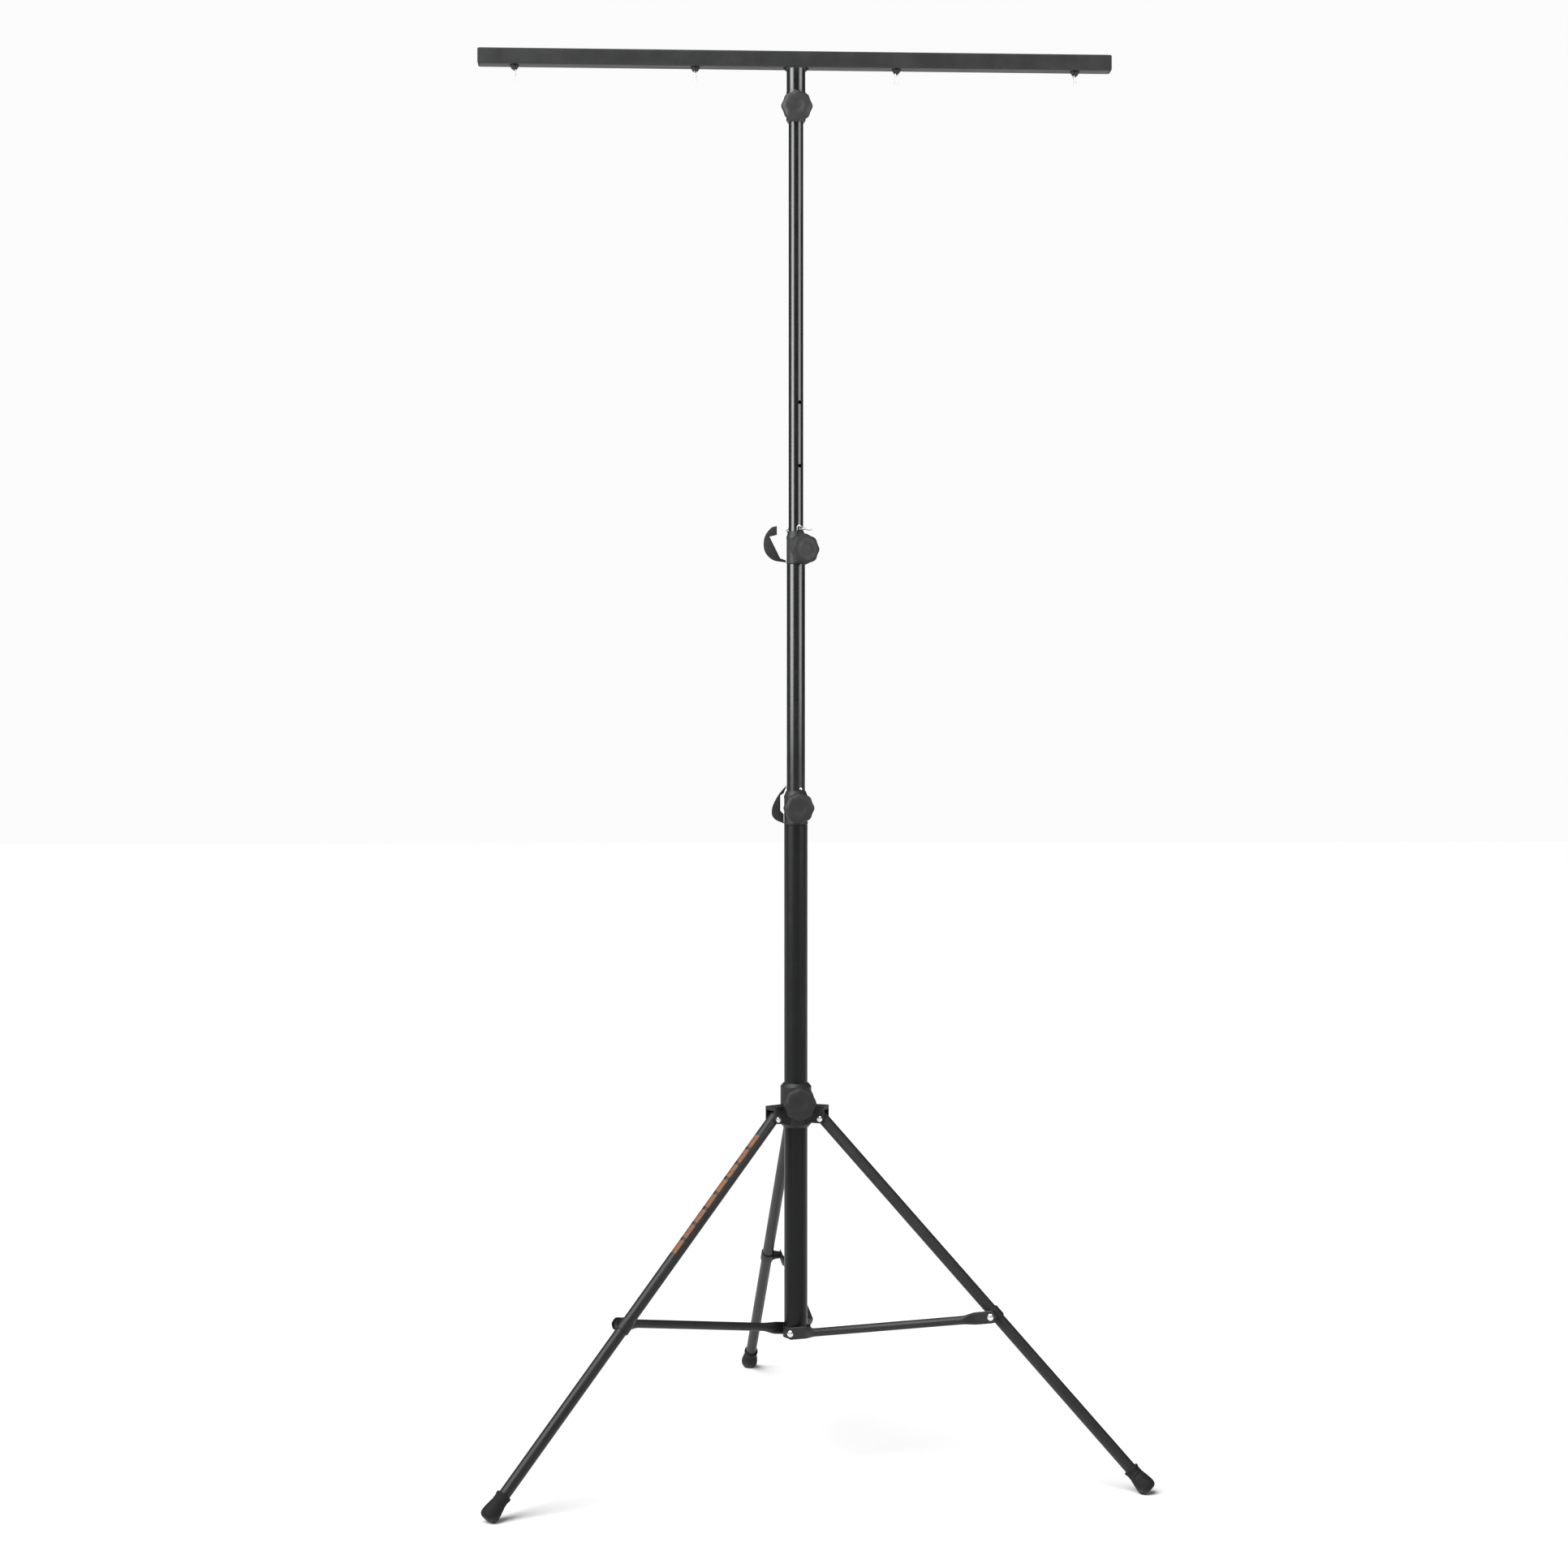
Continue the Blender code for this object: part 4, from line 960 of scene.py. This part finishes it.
class STAND_OT_hub(bpy.types.Operator):
    """Build the sliding hub casting and the rivets of the three legs"""

    bl_idname = "stand.hub"
    bl_label = "Sliding hub"

    def execute(self, context):
        hub = self.casting()
        done(hub, MATERIALS["casting"], "hub", ["hub"])
        half = LUG_OUTER + CLEAR
        reach, height = leg_pivot()
        ends = [(half, 0.0040), (half, 0.0058), (half + 0.0009, 0.0057), (half + 0.0017, 0.0044),
                (half + 0.0021, 0.0024), (half + 0.0022, 0.0006)]
        rows = [(-along, size) for along, size in reversed(ends)] + ends
        rivet = drawn("rivet_pattern", rows, 32)
        for number in LEG_NUMBERS:
            piece = copied(rivet, f"leg_rivet_{number}")
            settled(piece, Matrix.Translation(MAST), spin(leg_azimuth(number)),
                    shift(reach, 0.0, height), spin(90.0, "X"))
            done(piece, MATERIALS["zinc"], "hub", [f"leg_pivot_{number}"])
        discard(rivet)
        return {"FINISHED"}

    def casting(self):
        """A round body with three pairs of lugs under a roof, and a boss for its knob."""
        bore = BASE_R + CLEAR
        pivot_z = leg_pivot()[1]
        rows = [(HUB_BOTTOM, bore + 0.0015), (HUB_BOTTOM + 0.0052, HUB_R - 0.0012),
                (HUB_BOTTOM + 0.0068, HUB_R), (HUB_TOP - 0.0068, HUB_R),
                (HUB_TOP - 0.0052, HUB_R - 0.0012), (HUB_TOP, bore + 0.0015), (HUB_TOP, bore),
                (HUB_BOTTOM, bore), (HUB_BOTTOM, bore + 0.0015)]
        hub = drawn("hub_casting", rows, sizes().tube_sides, ring=True)
        root, end = 0.0240, 0.0625
        under, top, bottom = pivot_z + 0.0166, pivot_z + 0.0236, pivot_z - 0.0090
        for number in LEG_NUMBERS:
            turn = spin(leg_azimuth(number))
            lug = cuboid("lug", (end - root, 2 * LUG_OUTER, top - bottom),
                         ((end + root) / 2, 0.0, (top + bottom) / 2))
            bpy.ops.object.mode_set(mode="EDIT")
            pick(lug, "EDGE", lambda spot, lie: abs(lie.y) > 0.9 and spot.x > 0.06
                 and spot.z < pivot_z)
            bpy.ops.mesh.bevel(offset=0.0085, segments=6, profile=0.5, affect="EDGES")
            pick(lug, "EDGE", lambda spot, lie: abs(lie.z) > 0.9 and spot.x > 0.06)
            bpy.ops.mesh.bevel(offset=0.0015, segments=3, profile=0.5, affect="EDGES")
            bpy.ops.object.mode_set(mode="OBJECT")
            united(hub, settled(lug, turn))
        cuts = []
        for number in LEG_NUMBERS:
            turn = spin(leg_azimuth(number))
            space = cuboid("space", (0.0700, 2 * LUG_SLOT, under - bottom + 0.02),
                           (HUB_R + 0.0350, 0.0, (under + bottom - 0.02) / 2))
            cuts.append(settled(space, turn))
        azimuth, height = knob_azimuth("hub_knob"), knob_height("hub_knob")
        place, seat = spin(azimuth) @ shift(z=height) @ spin(90.0, "Y"), KNOB_SEATS["hub_knob"]
        boss = drawn("boss", [(root, 0.0142), (HUB_R + 0.0008, 0.0136), (seat - 0.0010, 0.0126),
                              (seat, 0.0116)], 44)
        united(hub, settled(boss, place))
        space = drawn("bore", [(HUB_BOTTOM - 0.01, bore), (HUB_TOP + 0.01, bore)],
                      sizes().tube_sides)
        cut(hub, *cuts, settled(screw_hole(), place), space)
        settled(hub, Matrix.Translation(MAST))
        return edged(hub, sizes().edge)


# --- legs -------------------------------------------------------------------------------------
class STAND_OT_legs(bpy.types.Operator):
    """Build the three tubular legs with their rubber boots and brace bands"""

    bl_idname = "stand.legs"
    bl_label = "Legs"

    def execute(self, context):
        patterns = self.tube(), self.boot(), self.bracket()
        for number in LEG_NUMBERS:
            tube, boot, bracket = [copied(pattern, f"{pattern.name[:-8]}_{number}")
                                   for pattern in patterns]
            axes, body = leg_axes(number), f"leg_{number}"
            for piece in (tube, boot, bracket):
                settled(piece, axes)
            paint = MATERIALS["marked" if number == MARKED_LEG else "satin"]
            done(tube, paint, body, [f"leg_{number}"])
            done(boot, MATERIALS["rubber"], body, [f"foot_{number}"], 40.0)
            done(bracket, MATERIALS["casting"], body, [f"brace_bracket_{number}"])
        discard(*patterns)
        return {"FINISHED"}

    def tube(self):
        inner, brk = LEG_R - sizes().wall, 0.0004
        start, end = -0.0100, LEG_LENGTH - 0.0120
        rows = [(start + brk, LEG_R), (end, LEG_R), (end, inner), (start + brk, inner),
                (start, inner + brk), (start, LEG_R - brk), (start + brk, LEG_R)]
        tube = drawn("leg_tube_pattern", rows, 56, ring=True)
        hole = drawn("hole", [(-0.02, HOLE_R), (0.02, HOLE_R)], 28)
        cut(tube, settled(hole, spin(90.0, "X")))
        return settled(tube, spin(90.0, "Y"))

    def boot(self):
        """A boot with a rolled rim, two grip grooves and a flared sole cut flat at the floor."""
        start, reach = LEG_LENGTH - 0.0440, LEG_LENGTH
        rows = [(start + 0.0008, LEG_R + CLEAR), (start, LEG_R + 0.0011), (start, 0.0136),
                (start + 0.0005, 0.0143), (start + 0.0012, 0.0146), (start + 0.0044, 0.0146),
                (start + 0.0052, 0.0143), (start + 0.0058, 0.0136), (start + 0.0098, 0.0136),
                (start + 0.0104, 0.0132), (start + 0.0116, 0.0132), (start + 0.0122, 0.0136),
                (start + 0.0152, 0.0137), (start + 0.0158, 0.0133), (start + 0.0170, 0.0133),
                (start + 0.0176, 0.0139), (reach - 0.0200, 0.0150), (reach - 0.0130, 0.0162),
                (reach - 0.0060, 0.0172), (reach - 0.0020, 0.0173), (reach + 0.0015, 0.0168),
                (reach + 0.0045, 0.0153), (reach + 0.0065, 0.0131), (reach + 0.0076, 0.0104),
                (reach + 0.0080, 0.0060)]
        boot = settled(drawn("leg_boot_pattern", rows, 56), spin(90.0, "Y"))
        normal = Vector((math.sin(LEG_SLOPE), 0.0, -math.cos(LEG_SLOPE)))
        floor = Vector((LEG_LENGTH, 0.0, 0.0)) + normal * FOOT_Z
        activate(boot)
        bpy.ops.object.mode_set(mode="EDIT")
        bpy.ops.mesh.select_all(action="SELECT")
        bpy.ops.mesh.bisect(plane_co=floor, plane_no=normal, use_fill=True, clear_outer=True)
        face_outwards()
        return boot

    def bracket(self):
        """The band round the leg, with its boss for the brace."""
        inner, half = LEG_R + CLEAR, 0.0110
        outer = inner + 0.0020
        rows = [(-half, outer - 0.0005), (-half + 0.0005, outer), (half - 0.0005, outer),
                (half, outer - 0.0005), (half, inner), (-half, inner), (-half, outer - 0.0005)]
        band = drawn("leg_bracket_pattern", rows, 56, ring=True)
        settled(band, spin(90.0, "Y"))
        boss = drawn("boss", [(inner + 0.0008, 0.0100), (inner + 0.0020, 0.0097),
                              (inner + 0.0055, 0.0086), (BRACE_FACE - CLEAR - 0.0006, 0.0075),
                              (BRACE_FACE - CLEAR, 0.0069)], 40)
        united(band, settled(boss, spin(90.0, "X")))
        bore = drawn("bore", [(-0.02, inner), (0.02, inner)], 56)
        cut(band, settled(bore, spin(90.0, "Y")))
        edged(band, 0.0004, 45.0)
        return settled(band, shift(BRACE_ON_LEG))


# --- braces -----------------------------------------------------------------------------------
def brace_axes(number):
    """Axes of a brace: X runs out along it from its pivot on the collar."""
    pivot, tangent = hinge(f"brace_{number}_fold")
    azimuth = math.degrees(math.atan2(tangent.x, -tangent.y))
    return Matrix.Translation(pivot) @ spin(azimuth) @ Matrix.Rotation(-BRACE_SLOPE, 4, "Y")


class STAND_OT_braces(bpy.types.Operator):
    """Build the three braces with their rivets, and the collar that they stand on"""

    bl_idname = "stand.braces"
    bl_label = "Braces"

    def execute(self, context):
        strut = self.strut()
        outer = self.rivet("rivet_pattern", BRACE_FACE)
        inner = self.rivet("pin_pattern", BASE_R + CLEAR + 0.0012)
        for number in LEG_NUMBERS:
            axes = brace_axes(number)
            piece = settled(copied(strut, f"brace_strut_{number}"), axes)
            done(piece, MATERIALS["satin"], f"brace_{number}", [f"brace_{number}"],
                 40.0)
            piece = settled(copied(outer, f"brace_outer_rivet_{number}"), axes,
                            shift(BRACE_LENGTH), spin(90.0, "X"))
            done(piece, MATERIALS["zinc"], f"brace_{number}", [f"brace_rivet_{number}"])
            piece = settled(copied(inner, f"brace_inner_rivet_{number}"), axes, spin(90.0, "X"))
            done(piece, MATERIALS["zinc"], "mast", [f"collar_pin_{number}"])
        discard(strut, outer, inner)
        collar = self.collar()
        done(collar, MATERIALS["casting"], "mast", ["brace_collar"])
        return {"FINISHED"}

    def strut(self):
        """A round tube crushed flat at both ends, flush with its inner side."""
        width, end_r = 0.0118, 0.0100
        rows = []
        for turn in (82.0, 70.0, 56.0, 42.0, 28.0, 14.0, 0.0):
            angle = math.radians(turn)
            rows.append((-end_r * math.sin(angle), width * math.cos(angle), PLATE_HALF))
        rows += [(0.0280, width, PLATE_HALF), (0.0330, 0.0114, 0.0020), (0.0400, 0.0101, 0.0046),
                 (0.0470, 0.0087, 0.0071), (0.0530, BRACE_R, BRACE_R)]
        rows += [(BRACE_LENGTH - x, high, thick) for x, high, thick in reversed(rows)]
        shaped = [(x, high, thick, 0.0, -BRACE_FACE - thick) for x, high, thick in rows]
        return settled(drawn("strut_pattern", shaped, 32), spin(90.0, "Y"))

    def rivet(self, name, root):
        head = BRACE_FACE + 2 * PLATE_HALF + CLEAR
        return drawn(name, [(root, 0.0040), (head, 0.0040), (head, 0.0060),
                            (head + 0.0006, 0.0062), (head + 0.0016, 0.0051),
                            (head + 0.0022, 0.0032), (head + 0.0024, 0.0008)], 32)

    def collar(self):
        bore = BASE_R + CLEAR
        low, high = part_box("brace_collar")
        face = BRACE_FACE - CLEAR
        rows = [(low.z, bore + 0.0022), (high.z - 0.0012, bore + 0.0022),
                (high.z, bore + 0.0012), (high.z, bore), (low.z, bore), (low.z, bore + 0.0022)]
        collar = drawn("brace_collar_casting", rows, sizes().tube_sides, ring=True)
        depth = face - 0.014
        for number in LEG_NUMBERS:
            boss = cuboid("boss", (0.0200, depth, high.z - low.z),
                          (0.0, -face + depth / 2, (high.z + low.z) / 2))
            bpy.ops.object.mode_set(mode="EDIT")
            pick(boss, "EDGE", lambda spot, lie: abs(lie.y) > 0.9)
            bpy.ops.mesh.bevel(offset=0.0040, segments=5, profile=0.5, affect="EDGES")
            bpy.ops.object.mode_set(mode="OBJECT")
            united(collar, settled(boss, spin(leg_azimuth(number))))
        space = drawn("bore", [(low.z - 0.01, bore), (high.z + 0.01, bore)], sizes().tube_sides)
        cut(collar, space)
        settled(collar, Matrix.Translation(MAST))
        return edged(collar, 0.0006)


class STAND_OT_fittings(bpy.types.Operator):
    """Finish the small parts that keep their CAD shape"""

    bl_idname = "stand.fittings"
    bl_label = "Small fittings"

    def execute(self, context):
        kept = {"base_plug": "strap", "middle_glide": "strap", "top_glide": "strap"}
        kept.update({name + "_screw": "zinc" for name in KNOB_SEATS})
        for node, finish in kept.items():
            data = frame["nodes"][node].data
            data.materials.clear()
            data.materials.append(MATERIALS[finish])
        return {"FINISHED"}


# --- studio -----------------------------------------------------------------------------------
class STAND_OT_studio(bpy.types.Operator):
    """Set up the plain floor, the soft lights and the camera"""

    bl_idname = "stand.studio"
    bl_label = "Studio"

    def execute(self, context):
        self.floor()
        self.surround()
        studio = context.scene.stand_studio
        self.softbox("left", studio.left, 2.3, -2.42)
        self.softbox("right", studio.right, 2.1, 2.42)
        self.overhead(studio.overhead)
        self.camera(studio.lens)
        return {"FINISHED"}

    def floor(self):
        deselect()
        bpy.ops.mesh.primitive_plane_add(size=60.0)
        floor = started("studio_floor")
        made = Finish("studio_floor", bpy.context.scene.stand_studio.floor, 0.9)
        floor.data.materials.append(made.material)

    def surround(self):
        """A plain pale surround that lights the stand less than it shows."""
        world = bpy.data.worlds.new("studio_surround")
        bpy.context.scene.world = world
        world.use_nodes = True
        tree = world.node_tree
        lit = tree.nodes["Background"]
        lit.inputs["Color"].default_value = (1.0, 1.0, 1.0, 1.0)
        lit.inputs["Strength"].default_value = bpy.context.scene.stand_studio.surround
        seen = tree.nodes.new("ShaderNodeBackground")
        seen.inputs["Color"].default_value = (0.97, 0.97, 0.97, 1.0)
        share = tree.nodes.new("ShaderNodeMixShader")
        path = tree.nodes.new("ShaderNodeLightPath")
        tree.links.new(path.outputs["Is Camera Ray"], share.inputs[0])
        tree.links.new(lit.outputs[0], share.inputs[1])
        tree.links.new(seen.outputs[0], share.inputs[2])
        tree.links.new(share.outputs[0], tree.nodes["World Output"].inputs["Surface"])

    def softbox(self, name, watts, width, side):
        """An upright softbox to one side, aimed at the upper mast."""
        lamp = bpy.data.lights.new(name + "_softbox", "AREA")
        lamp.shape, lamp.size, lamp.size_y = "RECTANGLE", width, SOFTBOX_TALL
        lamp.energy, lamp.spread = watts, math.radians(SOFTBOX_SPREAD)
        box = added(name + "_softbox", lamp)
        box.location = (side, SOFTBOX_FRONT, SOFTBOX_Z)
        aim = SOFTBOX_AIM - box.location
        box.rotation_euler = aim.to_track_quat("-Z", "Y").to_euler()

    def overhead(self, strength):
        """One very broad, even light from above, so that the floor is evenly pale."""
        lamp = bpy.data.lights.new("overhead", "SUN")
        lamp.energy, lamp.angle = strength, math.radians(50.0)
        sun = added("overhead", lamp)
        sun.location = (0.0, 0.0, 6.0)
        sun.rotation_euler = (math.radians(20.0), math.radians(-26.0), 0.0)

    def camera(self, lens):
        data = bpy.data.cameras.new("camera")
        data.sensor_width, data.lens, data.shift_y = 36.0, lens, CAMERA_SHIFT
        camera = added("camera", data)
        camera.location = CAMERA_PLACE
        camera.rotation_euler = (math.radians(CAMERA_TILT), 0.0, math.radians(CAMERA_PAN))
        bpy.context.scene.camera = camera
        bpy.context.scene.view_settings.view_transform = "Standard"


# --- panel and registration -------------------------------------------------------------------
PIECES = (STAND_OT_mast, STAND_OT_clamps, STAND_OT_knobs, STAND_OT_pins, STAND_OT_t_bar,
          STAND_OT_hangers, STAND_OT_hub, STAND_OT_legs, STAND_OT_braces, STAND_OT_fittings,
          STAND_OT_studio)


class STAND_PT_build(bpy.types.Panel):
    """Sizes, colours and build steps of the lighting stand"""

    bl_idname = "STAND_PT_build"
    bl_label = "Lighting Stand"
    bl_space_type = "VIEW_3D"
    bl_region_type = "UI"
    bl_category = "Stand"

    def draw(self, context):
        for group in ("stand_sizes", "stand_finish", "stand_studio"):
            settings = getattr(context.scene, group)
            box = self.layout.box()
            for name in settings.__annotations__:
                box.prop(settings, name)
        for step in PIECES:
            self.layout.operator(step.bl_idname)


GROUPS = {"stand_sizes": StandSizes, "stand_finish": StandFinish, "stand_studio": StudioSettings}


def register():
    for cls in (*GROUPS.values(), *PIECES, STAND_PT_build):
        bpy.utils.register_class(cls)
    for name, group in GROUPS.items():
        setattr(bpy.types.Scene, name, PointerProperty(type=group))


def unregister():
    for name in GROUPS:
        delattr(bpy.types.Scene, name)
    for cls in (STAND_PT_build, *reversed(PIECES), *reversed(GROUPS.values())):
        bpy.utils.unregister_class(cls)


def main():
    register()
    deselect()
    mix_finishes()
    for step in PIECES:
        group, name = step.bl_idname.split(".")
        getattr(getattr(bpy.ops, group), name)()


if __name__ == "__main__":
    main()
